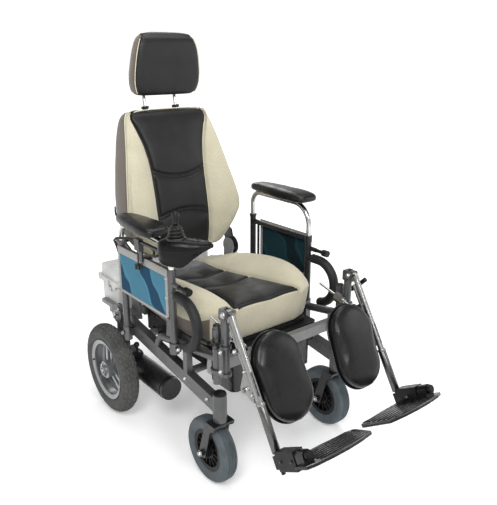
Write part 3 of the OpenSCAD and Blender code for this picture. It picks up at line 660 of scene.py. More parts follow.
UP = lambda x: 275 + 26 * (x / 104) ** 2
LOW = lambda x: 171 - 20 * (x / 102) ** 2
seams = [back_line(3, 40, 500, m=m) for m in (1, -1)]
outer = [back_line(7, 40, 500, m=m) for m in (1, -1)]
cross = [cross_line(lambda x, k=k: UP(x) + k, 103) for k in (0, 11)]
cross += [cross_line(lambda x, k=k: LOW(x) + k, 101) for k in (0, -11)]
c, n = coords(back), vertex_normals(back)
d_all = np.minimum.reduce([near_line(c, [tuple(p) for p in L]) for L in seams + cross])
c += n * (0.005 * (1 - np.exp(-d_all / 0.022)) * np.clip(-n[:, 1] * 2 - 0.3, 0, 1))[:, None]
set_coords(back, c)
sew(back, seams, 0.006, 0.005)
sew(back, cross, 0.005, 0.004)
sew(back, outer, 0.0025, 0.004)
c = coords(back)
n = vertex_normals(back)
for i, p in enumerate(c):
    low = max(0.0, 1 - (p[2] - 0.55) / 0.12) * min(1.0, max(0.0, (abs(p[0]) - 0.09) / 0.05))
    w = noise.noise(Vector((p[0] * 22, p[1] * 30, p[2] * 55 + p[0] * 40)))
    c[i] = p + n[i] * (0.0035 * w * low + 0.0008 * noise.noise(Vector(p) * 18))
set_coords(back, c)
k = Kit()
for m in (1, -1):
    k.tube(back_line(7, 44, 505, 90, m, 0.6), 0.0024, 8)
half_top = 128
brow = [(x, abs(x / half_top)) for x in np.linspace(-half_top, half_top, 40)]
k.tube([BACK(x, -23.5 + 2.5 * u**2, 510.5 - 6 * u**5) for x, u in brow], 0.0017, 8)
k.make("back_piping", "piping", "back", slot="cream_fabric")
k = Kit()
for m in (1, -1):
    collar = [(0, 0.017), (0.3, 0.0165), (0.6, 0.0155), (0.7, 0.0095), (1, 0.0088)]
    k.lathe(BACK(m * 60, 22, 508), BACK(m * 60, 22, 516), collar, 28)
    k.box(lambda x, y, z, m=m: BACK(m * 60 + x, 22 + y, 509 + z), (-20, -10, 0), (20, 10, 4), 1.6)
k.make("guide_caps", "plastic", "back")
k = Kit()
proud = BACK(0, -3.2, 0) - BACK(0, 0, 0)
for L in cross:
    for p, q in zip(L[:-1], L[1:]):
        k.cyl(p.lerp(q, 0.15) + proud, p.lerp(q, 0.7) + proud, 0.0006, 5)
k.make("back_stitches", "gloss", "back")

# ---- headrest: black front, taupe sides and rear, cream piping ----
HK = [4, 14, 48, 98, 150, 180, 194]
HR = [
    [106, -90, -22], [118, -98, -20], [128, -103, -23], [126, -103, -28],
    [117, -101, -31], [105, -95, -36], [90, -84, -48],
]


def head_ring(h, shrink=0.0, dh=0.0):
    hw, yf, yr = table(HK, HR, h)
    d = yr - yf
    half = [
        (0, yf), (hw * 0.5, yf + 0.5), (hw * 0.82, yf + 3), (hw * 0.96, yf + 10), (hw, yf + d * 0.25),
        (hw * 0.985, yf + d * 0.5), (hw * 0.92, yf + d * 0.78), (hw * 0.76, yf + d * 0.95),
        (hw * 0.4, yr), (0, yr),
    ]
    pts, par = spline(half, 7)
    yc = (yf + yr) / 2
    pts = [(p[0] * (1 - shrink), yc + (p[1] - yc) * (1 - shrink)) for p in pts]
    ring = [HEAD(x, y, h + dh) for x, y in pts] + [HEAD(-x, y, h + dh) for x, y in pts[-2:0:-1]]
    return ring, par + par[-2:0:-1]


rings = []
for s, d in [(0.98, -1), (0.7, -1.6), (0.4, -1.6), (0.15, -1.0)]:
    r, par = head_ring(4, s, d)
    rings.append(r)
for h in np.linspace(4, 194, 60):
    r, par = head_ring(h)
    rings.append(r)
for s, d in [(0.1, 2.4), (0.25, 4.4), (0.45, 5.8), (0.7, 6.4), (0.98, 6.4)]:
    r, par = head_ring(194, s, d)
    rings.append(r)


def head_zone(a, b, j):
    u = max(a, b)
    return 0 if u <= 3.001 or j < 5 or j > 61 and u < 7 else 1


vs, fs, ix = loft(rings, par, head_zone)
head = piece("headrest_cover", vs, fs, ["leather", "taupe"], "headrest", "headrest_pad", ix, None)


def head_line(i, h0, h1, m, n=50, lift=0.0):
    out = []
    for h in np.linspace(h0, h1, n):
        hw, yf, yr = table(HK, HR, h)
        x, y = (hw * 0.96, yf + 10) if i == 3 else (hw * 0.92, yf + (yr - yf) * 0.78)
        out.append(HEAD(m * (x + lift * 0.5), y - lift, h))
    return out


hs = [head_line(i, 8, 189, m) for i in (3, 6) for m in (1, -1)]
sew(head, hs, 0.003, 0.0035)
k = Kit()
for m in (1, -1):
    k.tube(head_line(3, 10, 180, m, 50, 0.2), 0.0014, 8)
k.make("headrest_piping", "piping", "headrest", slot="cream_fabric")

# ---- seat: black centre, cream bolsters and front, taupe sides ----
SK = [-206, -196, -176, -140, -90, 0, 110, 205, 255, 300]
# y: panel half width, panel z, crest x, crest z, edge x, edge z, base x, base z
SR = [
    [117, 505, 126, 503, 134, 492, 128, 404],
    [126, 507, 138, 506, 152, 494, 146, 402],
    [122, 508, 152, 510, 181, 486, 176, 400],
    [113, 506, 176, 527, 205, 470, 200, 398],
    [108, 502, 188, 540, 212, 458, 207, 397],
    [105, 491, 192, 540, 213, 452, 207, 397],
    [97, 479, 186, 526, 205, 452, 198, 397],
    [92, 474, 170, 506, 187, 456, 178, 397],
    [88, 476, 156, 488, 172, 454, 166, 397],
    [84, 474, 138, 478, 156, 450, 152, 397],
]


def seat_ring(y, shrink=0.0, dy=0.0):
    pw, pz, cx, cz, ex, ez, bx, bz = table(SK, SR, y)
    half = [
        (0, pz - 2), (pw * 0.5, pz + 2), (pw * 0.88, pz + 1), (pw, pz - 1.5),
        (pw + (cx - pw) * 0.45, pz + (cz - pz) * 0.62), (cx - 6, cz - 2),
        (cx + (ex - cx) * 0.45, cz + (ez - cz) * 0.16), (ex, ez + (cz - ez) * 0.45), (ex + 1, ez),
        (ex - 1, (ez + bz) / 2), (bx, bz + 10), (bx - 12, bz), (bx * 0.5, bz - 0.5), (0, bz - 0.5),
    ]
    pts, par = spline(half, 8)
    zc = (pz + bz) / 2
    tilt = 0.24 * float(np.clip((-120 - y) / 80, 0, 1))
    out = []
    for x, z in pts:
        x, z = x * (1 - shrink), zc + (z - zc) * (1 - shrink)
        out.append((x, y + dy + tilt * (505 - z) * (1 if z < 505 else 0), z))
    ring = [W(*p) for p in out] + [W(-p[0], p[1], p[2]) for p in out[-2:0:-1]]
    return ring, par + par[-2:0:-1]


rings = []
for s, d in [(0.985, -1.2), (0.8, -1.2), (0.55, -1.2), (0.32, -1.1), (0.16, -0.9), (0.06, -0.5)]:
    r, par = seat_ring(-206, s, d)
    rings.append(r)
first = len(rings)
for y in np.concatenate([np.linspace(-206, -170, 22), np.linspace(-167, 297, 130)]):
    r, par = seat_ring(y)
    rings.append(r)
for s, d in [(0.04, 2), (0.12, 3), (0.4, 3.2), (0.7, 3.2), (0.985, 3.2)]:
    r, par = seat_ring(300, s, d)
    rings.append(r)


def seat_zone(a, b, j):
    s = max(a, b)
    if j < first:
        return 1
    return 0 if s <= 3.001 else 1 if s <= 8.001 else 2 if j > first + 21 else 1


vs, fs, ix = loft(rings, par, seat_zone)
seat = piece("seat_cover", vs, fs, ["leather", "cream", "taupe"], "chassis", "seat_cushion", ix, None)


def seat_line(col, y0, y1, n, m, lift=0.0):
    out = []
    for y in np.linspace(y0, y1, n):
        pw, pz, cx, cz, ex, ez, bx, bz = table(SK, SR, y)
        tilt = 0.24 * float(np.clip((-120 - y) / 80, 0, 1))
        x, z = (pw, pz - 1.5) if col == 3 else (ex + 1, ez)
        out.append(W(m * (x + (lift if col != 3 else 0)), y + tilt * max(0, 505 - z), z + (lift if col == 3 else 0)))
    return out


def seat_cross(yf, x1, n=41, lift=0.0):
    out = []
    for x in np.linspace(-x1, x1, n):
        y = yf(x)
        pz = table(SK, SR, y)[1]
        out.append(W(x, y, pz + 1.2 + lift))
    return out


sl = [seat_line(3, -203, 290, 90, m) for m in (1, -1)]
sc = [seat_cross(lambda x: 0 + 16 * (x / 105) ** 2, 104), seat_cross(lambda x: 128 + 14 * (x / 95) ** 2, 94)]
front = [seat_cross(lambda x, k=k: -200 + k, 119) for k in (0, 11)]
side_l = [seat_line(8, -168, 290, 80, m) for m in (1, -1)]
c, n = coords(seat), vertex_normals(seat)
d_all = np.minimum.reduce([near_line(c, [tuple(p) for p in L]) for L in sl + sc + front])
c += n * (0.006 * (1 - np.exp(-d_all / 0.024)) * (d_all < 0.13))[:, None]
set_coords(seat, c)
sew(seat, sl, 0.006, 0.005)
sew(seat, sc, 0.006, 0.005)
sew(seat, front, 0.003, 0.0028)
sew(seat, side_l, 0.002, 0.004)
c, n = coords(seat), vertex_normals(seat)
for i, p in enumerate(c):
    rear = max(0.0, min(1.0, (p[1] - 0.17) / 0.06)) * min(1.0, max(0.0, (abs(p[0]) - 0.1) / 0.04))
    w = noise.noise(Vector((p[0] * 18, p[1] * 70, p[2] * 16)))
    c[i] = p + n[i] * (0.005 * w * rear + 0.0009 * noise.noise(Vector(p) * 14))
set_coords(seat, c)
k = Kit()
for m in (1, -1):
    k.tube(seat_line(8, -166, 292, 90, m, 0.6), 0.0022, 8)
k.make("seat_piping", "taupe", "chassis", slot="taupe_fabric")


# ---- stadium and boat shaped pads, swelled by cloth pressure ----
def pad_mesh(name, f, outline, t0, t1, body, cad, mat="pad", crown=9.0, cap=0.006, back_flat=True):
    """outline: list of (u, v) in mm. t runs through the thickness from t0 (back) to t1 (front)."""
    O = np.array(outline, float)
    c0 = O.mean(0)
    levels = [(0.0, t0, 0.9), (0.04, t0, 1.0), (0.3, t0 + (t1 - t0) * 0.3, 1.012), (0.6, t0 + (t1 - t0) * 0.62, 1.008)]
    rings = []
    rings.append([f(*((c0 + (p - c0) * 0.02)), t0) for p in O])
    for _, t, s in levels:
        rings.append([f(*(c0 + (p - c0) * s), t) for p in O])
    for s in np.linspace(0.985, 0.02, 14):
        e = math.sqrt(max(0.0, 1 - s**2.6))
        rings.append([f(*(c0 + (p - c0) * s), t0 + (t1 - t0) * 0.72 + crown * e) for p in O])
    n = len(O)
    vs = [v for r in rings for v in r]
    fs = skin(len(rings), n) + ends(len(rings), n)
    o = piece(name, vs, fs, mat, body, cad, sharp=None)
    puff(o, cap, 0.0045)
    relax(o, 6)
    md = o.modifiers.new("sub", "SUBSURF")
    md.levels = md.render_levels = 1
    dg = bpy.context.evaluated_depsgraph_get()
    me = bpy.data.meshes.new_from_object(o.evaluated_get(dg))
    o.modifiers.clear()
    o.data = me
    me.materials.clear()
    me.materials.append(M[mat])
    me.polygons.foreach_set("use_smooth", [True] * len(me.polygons))
    return o


def stadium(w, h, n=18):
    r = w / 2
    a = np.linspace(0, math.pi, n)
    top = [(r * math.cos(t), h / 2 - r + r * math.sin(t)) for t in a]
    return top + [(-x, -y) for x, y in top]


def calf_frame(m):
    a, b = math.radians(26.8), math.radians(-3.8)

    def f(u, v, t):
        x, z = u * math.cos(b) - v * math.sin(b), u * math.sin(b) + v * math.cos(b)
        y, up = z * math.sin(a) - t * math.cos(a), z * math.cos(a) + t * math.sin(a)
        return W(m * (CALF[0] + x), CALF[1] + y, CALF[2] + up)

    return f


for s, m in (("l", 1), ("r", -1)):
    f = calf_frame(m)
    pad_mesh("calf_cover_" + s, f, stadium(156, 246), -15, 18, "leg_" + s, "calf_pad_" + s, "pad", 12, 0.004)
    k = Kit()
    k.tube([f(u, v, -14) for u, v in stadium(160, 250, 26)], 0.0017, 8, True)
    k.make("calf_edge_" + s, "edge", "leg_" + s)
    k = Kit()
    O = stadium(158, 248, 20)
    ring = [f(u, v, -15) for u, v in O] + [f(u, v, -19) for u, v in O]
    q = len(O)
    k.add(ring, skin(2, q) + ends(2, q))
    k.make("calf_board_" + s, "plastic", "leg_" + s)

    y0, y1, zt = (-90, 204, 736.8) if s == "l" else (-34, 208, 706.8)
    L = y1 - y0
    widths = [
        (0, 20), (4, 31), (18, 41), (60, 46), (L * 0.5, 43), (L * 0.72, 36), (L - 22, 25), (L - 5, 15), (L, 6),
    ]
    right = [(w, y0 + y) for y, w in widths]
    left = [(-x, y) for x, y in right[::-1]]
    O, _ = spline(right + left + [right[0]], 4)
    O = [tuple(p) for p in O[:-1]]
    on_arm = lambda u, v, t, m=m, zt=zt: W(m * (ARM_X + u), v, zt + t)
    pad_mesh("arm_cover_" + s, on_arm, O, 1.5, 26, "arm_rest_" + s, "arm_pad_" + s, "pad", 13, 0.0025)
    k = Kit()
    k.box(side(lambda x, y, z: W(x, y, z), m), (255, y0 + 16, zt - 0.2), (279, y1 - 16, zt + 2.4), 0.8)
    k.make("arm_pad_plate_" + s, "plastic", "arm_rest_" + s)
    k = Kit()
    for y in (15, 125):
        k.hexbolt(W(m * 258, y, zt - 0.4), Vector((0, 0, -1)), 0.0045, 0.004)
        k.hexbolt(W(m * 276, y, zt - 0.4), Vector((0, 0, -1)), 0.0045, 0.004)
    k.make("arm_bolts_" + s, "plated", "arm_rest_" + s)


# ---- side guards: stretched mesh fabric, hem and rivets ----
def guard(s, m, y1):
    y0, z0, z1 = -80, 478, 606
    vs, fs = [], []
    ny, nz = 40, 20
    for i in range(ny + 1):
        for j in range(nz + 1):
            u, v = i / ny, j / nz
            y, z = y0 + (y1 - y0) * u, z0 + (z1 - z0) * v
            sag = 1.2 * math.sin(math.pi * u) * math.sin(math.pi * v)
            sag += 0.5 * noise.noise(Vector((u * 7, v * 4, m)))
            scallop = -2.2 * math.sin(math.pi * u) * (1 - v) ** 3
            vs.append(W(m * (279.0 + sag * 0.5), y, z - scallop))
    for i in range(ny):
        for j in range(nz):
            a = i * (nz + 1) + j
            fs.append([a, a + 1, a + nz + 2, a + nz + 1])
    # The far (left) guard gets the darker copy of the blue mesh, a painted shade; both guards are the same blue fabric
    cloth = "guard" if s == "r" else "guard_in"
    o = piece("guard_fabric_" + s, vs, fs, cloth, "chassis", "side_guard_" + s, sharp=None)
    md = o.modifiers.new("thick", "SOLIDIFY")
    md.thickness = 0.0012
    md.offset = 0
    k = Kit()
    f = lambda x, y, z: W(m * x, y, z)
    k.box(f, (277.2, y0 - 4, 604), (280.6, y1 + 4, 627), 0.6)
    k.box(f, (277.6, y0 - 4, z0 - 3), (280.4, y0 + 8, 606), 0.6)
    k.box(f, (277.6, y1 - 8, z0 - 3), (280.4, y1 + 4, 606), 0.6)
    k.box(f, (277.6, y0 - 4, z0 - 4), (280.4, y1 + 4, z0 + 5), 0.6)
    k.make("guard_hem_" + s, "hem", "chassis")
    k = Kit()
    for y, z in ((y0 + 4, 598), (y1 - 4, 598), (y0 + 4, z0 + 4), (y1 - 4, z0 + 4), (y0 + 4, 540)):
        k.lathe(f(280.2, y, z), f(282.4, y, z), [(0, 0.0048), (0.5, 0.0045), (1, 0.0028)], 16)
    k.make("guard_rivets_" + s, "plated", "chassis")


guard("l", 1, 172)
guard("r", -1, 208)


# ---- tyres ----
def drive_tyre(s, m):
    n, mm = 336, 40
    R0, r0 = 128, 31
    a_in = math.acos((106 - R0) / r0)
    vs, fs = [], []
    for i in range(n):
        t = 2 * math.pi * i / n
        for j in range(mm + 1):
            a = -a_in + 2 * a_in * j / mm
            r = r0 - 0.3
            w = math.degrees(a)
            sx = math.sin(a)
            dep = 0.0
            if abs(w) < 62:
                row = 0 if abs(w) < 15 else 1 if abs(w) < 38 else 2
                ph = (i / 8 + (0.5 if row == 1 else 0) + abs(w) * 0.012) % 1
                cut = ph < 0.26
                edge = min(abs(abs(w) - 15), abs(abs(w) - 38)) < 2.6
                dep = 4.2 if (cut or edge) else 0
            elif abs(w) < 70:
                dep = 2.4 if (i / 4) % 1 < 0.4 else 0.6
            elif 92 < abs(w) < 97 or 112 < abs(w) < 115:
                dep = 0.8
            rr = r - dep
            R = R0 + rr * math.cos(a)
            vs.append(W(m * DRIVE[0] + rr * sx, DRIVE[1] + R * math.cos(t), DRIVE[2] + R * math.sin(t)))
    q = mm + 1
    for i in range(n):
        k2 = (i + 1) % n
        for j in range(mm):
            fs.append([i * q + j, i * q + j + 1, k2 * q + j + 1, k2 * q + j])
        fs.append([i * q + mm, i * q, k2 * q, k2 * q + mm])
    wheel, cad = "drive_wheel_" + s, "drive_tyre_" + s
    piece("drive_tread_" + s, vs, fs, "tyre", wheel, cad, sharp=50)


def caster_tyre(s, m):
    prof = [(64, -18), (66, -20.5), (74, -22), (83, -24.3), (88, -24.6), (92, -23.4), (95.6, -20), (97.6, -16)]
    for g in (-11.5, -5.8, 0, 5.8, 11.5):
        top = 100 - (abs(g) / 20) ** 2 * 2.2
        prof += [(top - 0.1, g - 1.9), (top - 2.1, g - 1.1), (top - 2.1, g + 1.1), (top - 0.1, g + 1.9)]
    prof += [(97.6, 16), (95.6, 20), (92, 23.4), (88, 24.6), (83, 24.3), (74, 22), (66, 20.5), (64, 18)]
    n = 120
    vs, fs = [], []
    for i in range(n):
        t = 2 * math.pi * i / n
        for r, x in prof:
            vs.append(W(m * CASTER[0] + x, CASTER[1] + r * math.cos(t), CASTER[2] + r * math.sin(t)))
    q = len(prof)
    for i in range(n):
        k2 = (i + 1) % n
        for j in range(q):
            fs.append([i * q + j, i * q + (j + 1) % q, k2 * q + (j + 1) % q, k2 * q + j])
    wheel, cad = "caster_wheel_" + s, "caster_tyre_" + s
    piece("caster_tread_" + s, vs, fs, "caster", wheel, cad, sharp=35)


X = Vector((1, 0, 0))
for s, m in (("l", 1), ("r", -1)):
    drive_tyre(s, m)
    caster_tyre(s, m)
    f = side(W, m)
    k = Kit()
    for a in range(3):
        t = math.radians(120 * a + 30)
        k.hexbolt(f(317.5, 300 + 22 * math.cos(t), 159 + 22 * math.sin(t)), X * m, 0.004, 0.0035)
    k.hexbolt(f(327, *DRIVE[1:]), X * m, 0.0075, 0.0001, False)
    k.make("rim_bolts_" + s, "plated", "drive_wheel_" + s)
    k = Kit()
    for i in range(14):
        t = 2 * math.pi * i / 14
        for x in (-13, 13):
            k.box(spun(f, CASTER, t), (x - 3, 17, -1.6), (x + 3, 54, 1.6), 0.7)
    hub = spun(f, CASTER, 0)
    for x in (-14, 14):
        k.lathe(hub(x - 2.5, 0, 0), hub(x + 2.5, 0, 0), [(0, 0.0245), (0.3, 0.026), (0.7, 0.026), (1, 0.0245)], 32)
    k.make("caster_spokes_" + s, "plastic", "caster_wheel_" + s)
    k = Kit()
    k.cyl(f(302, 300 + 98, 159), f(317, 300 + 94, 159), 0.0032, 12)
    k.make("rim_valve_" + s, "plastic", "drive_wheel_" + s)
    k = Kit()
    k.hexbolt(f(277, -223, 100), X * m, 0.0075, 0.006)
    k.hexbolt(f(191, -223, 100), -X * m, 0.0075, 0.006)
    k.make("axle_nuts_" + s, "plated", "caster_swivel_" + s)
    k = Kit()
    for a in range(5):
        t = math.radians(72 * a)
        for x in (262.6, 205.4):
            d = X * m * (1 if x > 234 else -1)
            k.hexbolt(f(x, -223 + 14 * math.cos(t), 100 + 14 * math.sin(t)), d, 0.0026, 0.0008, False)
    k.make("hub_bolts_" + s, "plated", "caster_wheel_" + s)

# ---- joystick: shaped case, skirt, bellows, knob, buttons ----
JX = [-52, -46, -34, -12, 20, 50, 75, 92, 101]
JT = [
    [6, 700, 682, 663, 4], [18, 708, 684, 653, 12], [27, 714, 685, 646, 19],
    [32, 718, 687, 641, 23], [32, 718, 688, 641, 23], [28.5, 714, 690, 664, 20],
    [22, 711, 693, 682, 15], [14, 708, 696, 691, 9], [4, 702, 697, 695, 3],
]
rings = []
for x in np.linspace(-52, 101, 78):
    wr, zt, zr, zb, wb = table(JX, JT, x)
    over, under = zt - zr, zr - zb
    half = [
        (0, zt), (wr * 0.55, zt - over * 0.12), (wr * 0.88, zt - over * 0.5), (wr * 0.985, zr + 3), (wr, zr),
        (wr * 0.97, zr - 3), (wr * 0.86 + wb * 0.14, zr - under * 0.3), (wb * 1.06, zb + under * 0.22),
        (wb, zb), (0, zb),
    ]
    pts, par = spline(half, 4)
    rib = 0.9 if -24 < x < 42 and int((x + 24) / 3.3) % 2 else 0
    pts = [(a - (rib if 7 <= u <= 8.2 else 0), b) for (a, b), u in zip(pts, par)]
    rings.append([stick(x, a, b) for a, b in pts] + [stick(x, -a, b) for a, b in pts[-2:0:-1]])
ks = len(rings[0])
vs = [v for r in rings for v in r]
fs = skin(len(rings), ks) + ends(len(rings), ks)
piece("joystick_case", vs, fs, "stick", "chassis", "joystick_body", sharp=60)
k = Kit()
k.lathe(stick(0, 0, 713), stick(0, 0, 720.4), [(0, 0.0275), (0.7, 0.0275), (0.9, 0.0262), (1, 0.0235)], 40)
k.make("joystick_collar", "gloss", "chassis")
k = Kit()
lens = [(0, 0.0085), (0.45, 0.0088), (0.75, 0.0076), (0.93, 0.0045), (1, 0.001)]
k.lathe(stick(82, 0, 697), stick(82, 0, 711.8), lens, 28)
for x, y in ((48, -8), (48, 8), (62, -6), (62, 6)):
    z = 715.4 - (x - 40) * 0.1 - abs(y) * 0.12
    k.lathe(stick(x, y, z - 2), stick(x, y, z + 0.9), [(0, 0.0038), (0.8, 0.0038), (1, 0.003)], 18)
k.make("joystick_lens", "gloss", "chassis")
k = Kit()
z0, z1 = 712.5, 753
steps = [
    (720, 20), (723, 22), (727, 22.4), (729.5, 18), (733, 20.6), (736.6, 20.4),
    (739, 15.5), (742.4, 17.4), (745.4, 17), (748, 12), (750.5, 12), (753, 8),
]
pr = [(0, 0.0195)] + [((z - z0) / (z1 - z0), r / 1000) for z, r in steps]
zz, _ = spline([(a, b) for a, b in pr], 4)
k.lathe(stick(0, 0, z0), stick(0, 0, z1), [(float(a), float(b)) for a, b in zz], 40)
k.make("joystick_bellows", "pad", "stick_base", "joystick_boot", slot="black_leather", sharp=None)
k = Kit()
pr = [
    (0, 0.004), (0.04, 0.0065), (0.12, 0.0085), (0.2, 0.0072), (0.32, 0.0074),
    (0.5, 0.0092), (0.7, 0.0104), (0.86, 0.0098), (0.95, 0.0072), (1.0, 0.003),
]
zz, _ = spline(pr, 4)
k.lathe(stick(0, 0, 753), stick(0, 0, 788.5), [(float(a), float(b)) for a, b in zz], 32)
k.make("joystick_grip", "plastic", "stick", "joystick_knob", slot="black_plastic", sharp=None)

# ---- footplates: ribbed mat, and edge beads in lighter steel as a painted highlight line ----
for s, m in (("l", 1), ("r", -1)):
    f = side(lambda x, y, z: LEGF(x, y, z), m)
    g = lambda x, y, z, f=f: f(LEG_X + x, y, z)
    k = Kit()
    for i in range(7):
        y = -54 - i * 15.6
        x0 = -202 + max(0, -(y + 66)) * 0.24 + max(0, -(y + 146)) * 3
        x1 = -24
        k.box(g, (x0, y - 4.6, -394.4), (x1, y + 4.6, -392.6), 0.8)
    k.make("footplate_ribs_" + s, "gloss", "plate_" + s)
    k = Kit()
    edge = [
        (-22, -39), (-120, -43), (-203, -55), (-217, -61), (-219, -71), (-198, -149),
        (-150, -161), (-100, -166), (-50, -164), (0, -156), (23, -146),
    ]
    # The rim is glossy black; these beads along it and just inside it are lighter steel, a painted highlight line
    k.tube([g(x, y, -394.2) for x, y in edge], 0.0016, 8)
    k.tube([g(x * 0.96, -104 + (y + 104) * 0.93, -394.2) for x, y in edge[1:-1]], 0.0009, 6)
    k.make("footplate_edge_painted_highlight_" + s, "post", "plate_" + s)
    k = Kit()
    k.cyl(g(0, -144, -376), g(0, -141, -376), 0.009, 24, 0.001)
    k.make("foot_cap_" + s, "plastic", "foot_" + s)
    k = Kit()
    for y in (-40, -84):
        k.hexbolt(g(17, y, -386), X * m, 0.0038, 0.0028)
    k.hexbolt(g(-17, -60, -386), -X * m, 0.0055, 0.005)
    k.make("foot_bolts_" + s, "edge", "foot_" + s)
    k = Kit()
    for z in (-166, -182, -198, -214):
        t = math.radians(285)
        d = Vector((math.cos(t), math.sin(t)))
        turns = np.linspace(0.001, 2 * math.pi - 0.25, 22)
        pts = [(2.6 * math.cos(a), math.copysign(5.5, math.sin(a)) + 2.6 * math.sin(a)) for a in turns]
        out = [[g(r * d.x - u * d.y, -11 + r * d.y + u * d.x, z + v) for u, v in pts] for r in (7.6, 9.15)]
        k.add(out[0] + out[1], skin(2, len(pts)) + ends(2, len(pts)))
    k.make("leg_holes_" + s, "gloss", "leg_" + s)
    k = Kit()
    sleeve = [(0, 0.0113), (0.004, 0.0117), (0.985, 0.0117), (1, 0.0108)]
    k.lathe(g(0, -11, -366), g(0, -11, -240.5), sleeve, 32)
    k.make("foot_sleeve_" + s, "post", "foot_" + s)
    k = Kit()
    k.lathe(g(0, -11, -247), g(0, -11, -239), [(0, 0.0122), (0.3, 0.013), (1, 0.0122)], 28)
    k.make("leg_collars_" + s, "steel", "foot_" + s)
    k = Kit()
    for z in (-154, -216):
        k.hexbolt(g(8, 0, z), X * m, 0.004, 0.004)
    k.hexbolt(g(2, 22, -199), X * m, 0.006, 0.005)
    k.hexbolt(g(11, 11, -98), X * m, 0.005, 0.004)
    k.make("leg_bolts_" + s, "plated", "leg_" + s)
    # hanger
    h = side(W, m)
    k = Kit()
    k.lathe(h(236, -298, 544), h(236, -298, 551), [(0, 0.0125), (0.5, 0.0118), (1, 0.006)], 28)
    k.lathe(h(240, -265, 511), h(240, -265, 515), [(0, 0.0108), (1, 0.008)], 28)
    k.make("post_caps_" + s, "plastic", "hanger_" + s)
    k = Kit()
    k.hexbolt(h(253, -312, 560), X * m, 0.007, 0.005)
    k.hexbolt(h(219, -312, 560), -X * m, 0.007, 0.005)
    for z in (390, 448):
        k.hexbolt(h(252.5, -298, z), X * m, 0.0055, 0.0045)
    k.make("hanger_bolts_" + s, "plated", "hanger_" + s)

# ---- frame details ----
Y = Vector((0, 1, 0))
k = Kit()
kp = Kit()
for m in (1, -1):
    f = side(W, m)
    k.hexbolt(f(256, 306, 353), X * m, 0.0095, 0.007)
    k.hexbolt(f(256, 288, 372), X * m, 0.005, 0.004)
    k.hexbolt(f(256, 322, 336), X * m, 0.005, 0.004)
    k.hexbolt(f(250, -113, 286), X * m, 0.005, 0.004)
    k.hexbolt(f(250, -225, 270), X * m, 0.005, 0.004)
    k.hexbolt(f(267, -107, 384), -Y, 0.0055, 0.004)
    k.hexbolt(f(285, 205, 326), X * m, 0.0055, 0.004)
    kp.lathe(f(234, -265, 299), f(234, -265, 308), [(0, 0.0195), (0.5, 0.0188), (1, 0.012)], 32)
    slope, end_y = math.radians(8.3), 335
    end = (237, end_y, 302.6 + end_y * math.tan(slope))
    kp.box(spun(f, end, slope), (-13.6, -2, -22.6), (13.6, 6, 22.6), 2.4)
k.make("frame_bolts", "plated", "chassis")
kp.make("frame_caps", "plastic", "chassis")

# battery box latches and lid bands
k = Kit()
for m in (1, -1):
    f = side(W, m)
    k.box(f, (204, 436, 380), (207.5, 456, 404), 0.8)
    k.box(f, (211, 440, 396), (213.5, 452, 420), 0.6)
k.box(W, (-30, 389, 372), (30, 392.4, 400), 0.8)
k.make("battery_latches", "plated", "chassis")
k = Kit()
for i in range(5):
    k.box(W, (-120 + i * 52, 420, 464.6), (-92 + i * 52, 500, 466.6), 0.8)
k.make("lid_ribs", "case", "battery_cover", slot="case_grey")

# headrest post notches
k = Kit()
for m in (1, -1):
    for i in range(4):
        p = BACK(m * 60, 22, 545 + i * 8)
        q = BACK(m * 60, 22, 546.2 + i * 8)
        k.lathe(p, q, [(0, 0.0058), (0.5, 0.00608), (1, 0.0058)], 32)
k.make("post_notches", "plastic", "headrest")

# recline release hook on the right rear edge
k = Kit()
hook = [(-204, 50, 172), (-212, 47, 176), (-214, 46, 190), (-213, 44, 208)]
k.tube([BACK(*p) for p in hook], [0.0035, 0.0035, 0.003, 0.0025], 10)
k.make("back_hook", "plastic", "back")

# ---- floor, light and camera ----
def area(name, loc, target, size, power):
    d = bpy.data.lights.new(name, "AREA")
    d.shape = "DISK"
    d.size = size
    d.energy = power
    o = bpy.data.objects.new(name, d)
    scene.collection.objects.link(o)
    o.location = loc
    o.rotation_euler = (Vector(target) - Vector(loc)).to_track_quat("-Z", "Y").to_euler()


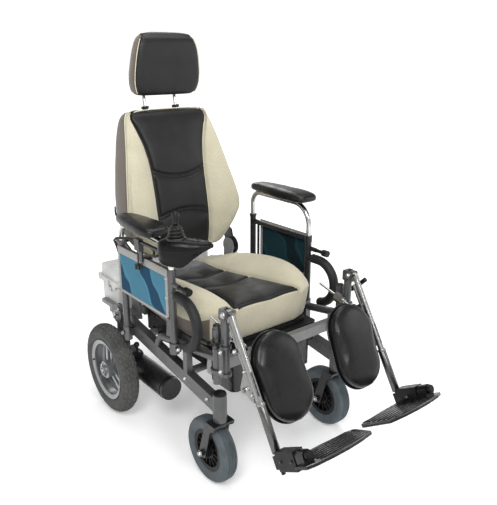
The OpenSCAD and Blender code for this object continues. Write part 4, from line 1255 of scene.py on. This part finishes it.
me = bpy.data.meshes.new("floor")
me.from_pydata([(-30, -30, 0), (30, -30, 0), (30, 30, 0), (-30, 30, 0)], [], [[0, 1, 2, 3]])
fl = bpy.data.objects.new("floor", me)
scene.collection.objects.link(fl)
fm = material("floor_paper", (0.93, 0.93, 0.93), 0.9, Specular_IOR_Level=0.1)
nt = fm.node_tree
bs = nt.nodes["Principled BSDF"]
bs.inputs["Emission Color"].default_value = (1, 1, 1, 1)
tc = nt.nodes.new("ShaderNodeTexCoord")
ln = nt.nodes.new("ShaderNodeVectorMath")
ln.operation = "LENGTH"
mr = nt.nodes.new("ShaderNodeMapRange")
mr.interpolation_type = "SMOOTHSTEP"
# Glow from 0.22 within 0.9 m of the middle to 0.9 beyond 3.2 m
for i, v in enumerate((0.9, 3.2, 0.22, 0.9)):
    mr.inputs[i + 1].default_value = v
nt.links.new(tc.outputs["Object"], ln.inputs[0])
nt.links.new(ln.outputs["Value"], mr.inputs[0])
nt.links.new(mr.outputs[0], bs.inputs["Emission Strength"])
me.materials.append(fm)

w = bpy.data.worlds.new("studio")
scene.world = w
w.use_nodes = True
nt = w.node_tree
tc = nt.nodes.new("ShaderNodeTexCoord")
sx = nt.nodes.new("ShaderNodeSeparateXYZ")
mr = nt.nodes.new("ShaderNodeMapRange")
mr.interpolation_type = "SMOOTHSTEP"
# White up to a slope of 0.14 above the horizon, grey over 0.4
for i, v in enumerate((0.14, 0.4, 1.02, 0.3)):
    mr.inputs[i + 1].default_value = v
nt.links.new(tc.outputs["Generated"], sx.inputs[0])
nt.links.new(sx.outputs["Z"], mr.inputs[0])
nt.links.new(mr.outputs[0], nt.nodes["Background"].inputs[1])
nt.nodes["Background"].inputs[0].default_value = (1, 1, 1, 1)
# Soft boxes: place, target, size in m and power in W
area("key", (-1.7, -1.6, 2.6), (0, 0, 0.6), 1.3, 56)
area("front", (-0.4, -2.7, 2.1), (0, -0.3, 0.4), 0.8, 28)
area("fill", (2.2, -1.8, 1.6), (0, 0, 0.5), 1.4, 12)
area("top", (0.3, 0.1, 3.0), (0, 0.0, 0.5), 2.3, 40)
area("rim", (1.2, 2.2, 2.0), (0, 0, 0.7), 1.2, 14)

cam = bpy.data.cameras.new("camera")
co = bpy.data.objects.new("camera", cam)
scene.collection.objects.link(co)
co.location = (-1.097, -1.472 + YS / 1000, 1.203)
az, el = math.radians(-38.673), math.radians(18.215)
look = Vector((-math.sin(az) * math.cos(el), math.cos(az) * math.cos(el), -math.sin(el)))
co.rotation_euler = look.to_track_quat("-Z", "Y").to_euler()
cam.lens = 43.18
cam.sensor_width = 36
scene.camera = co
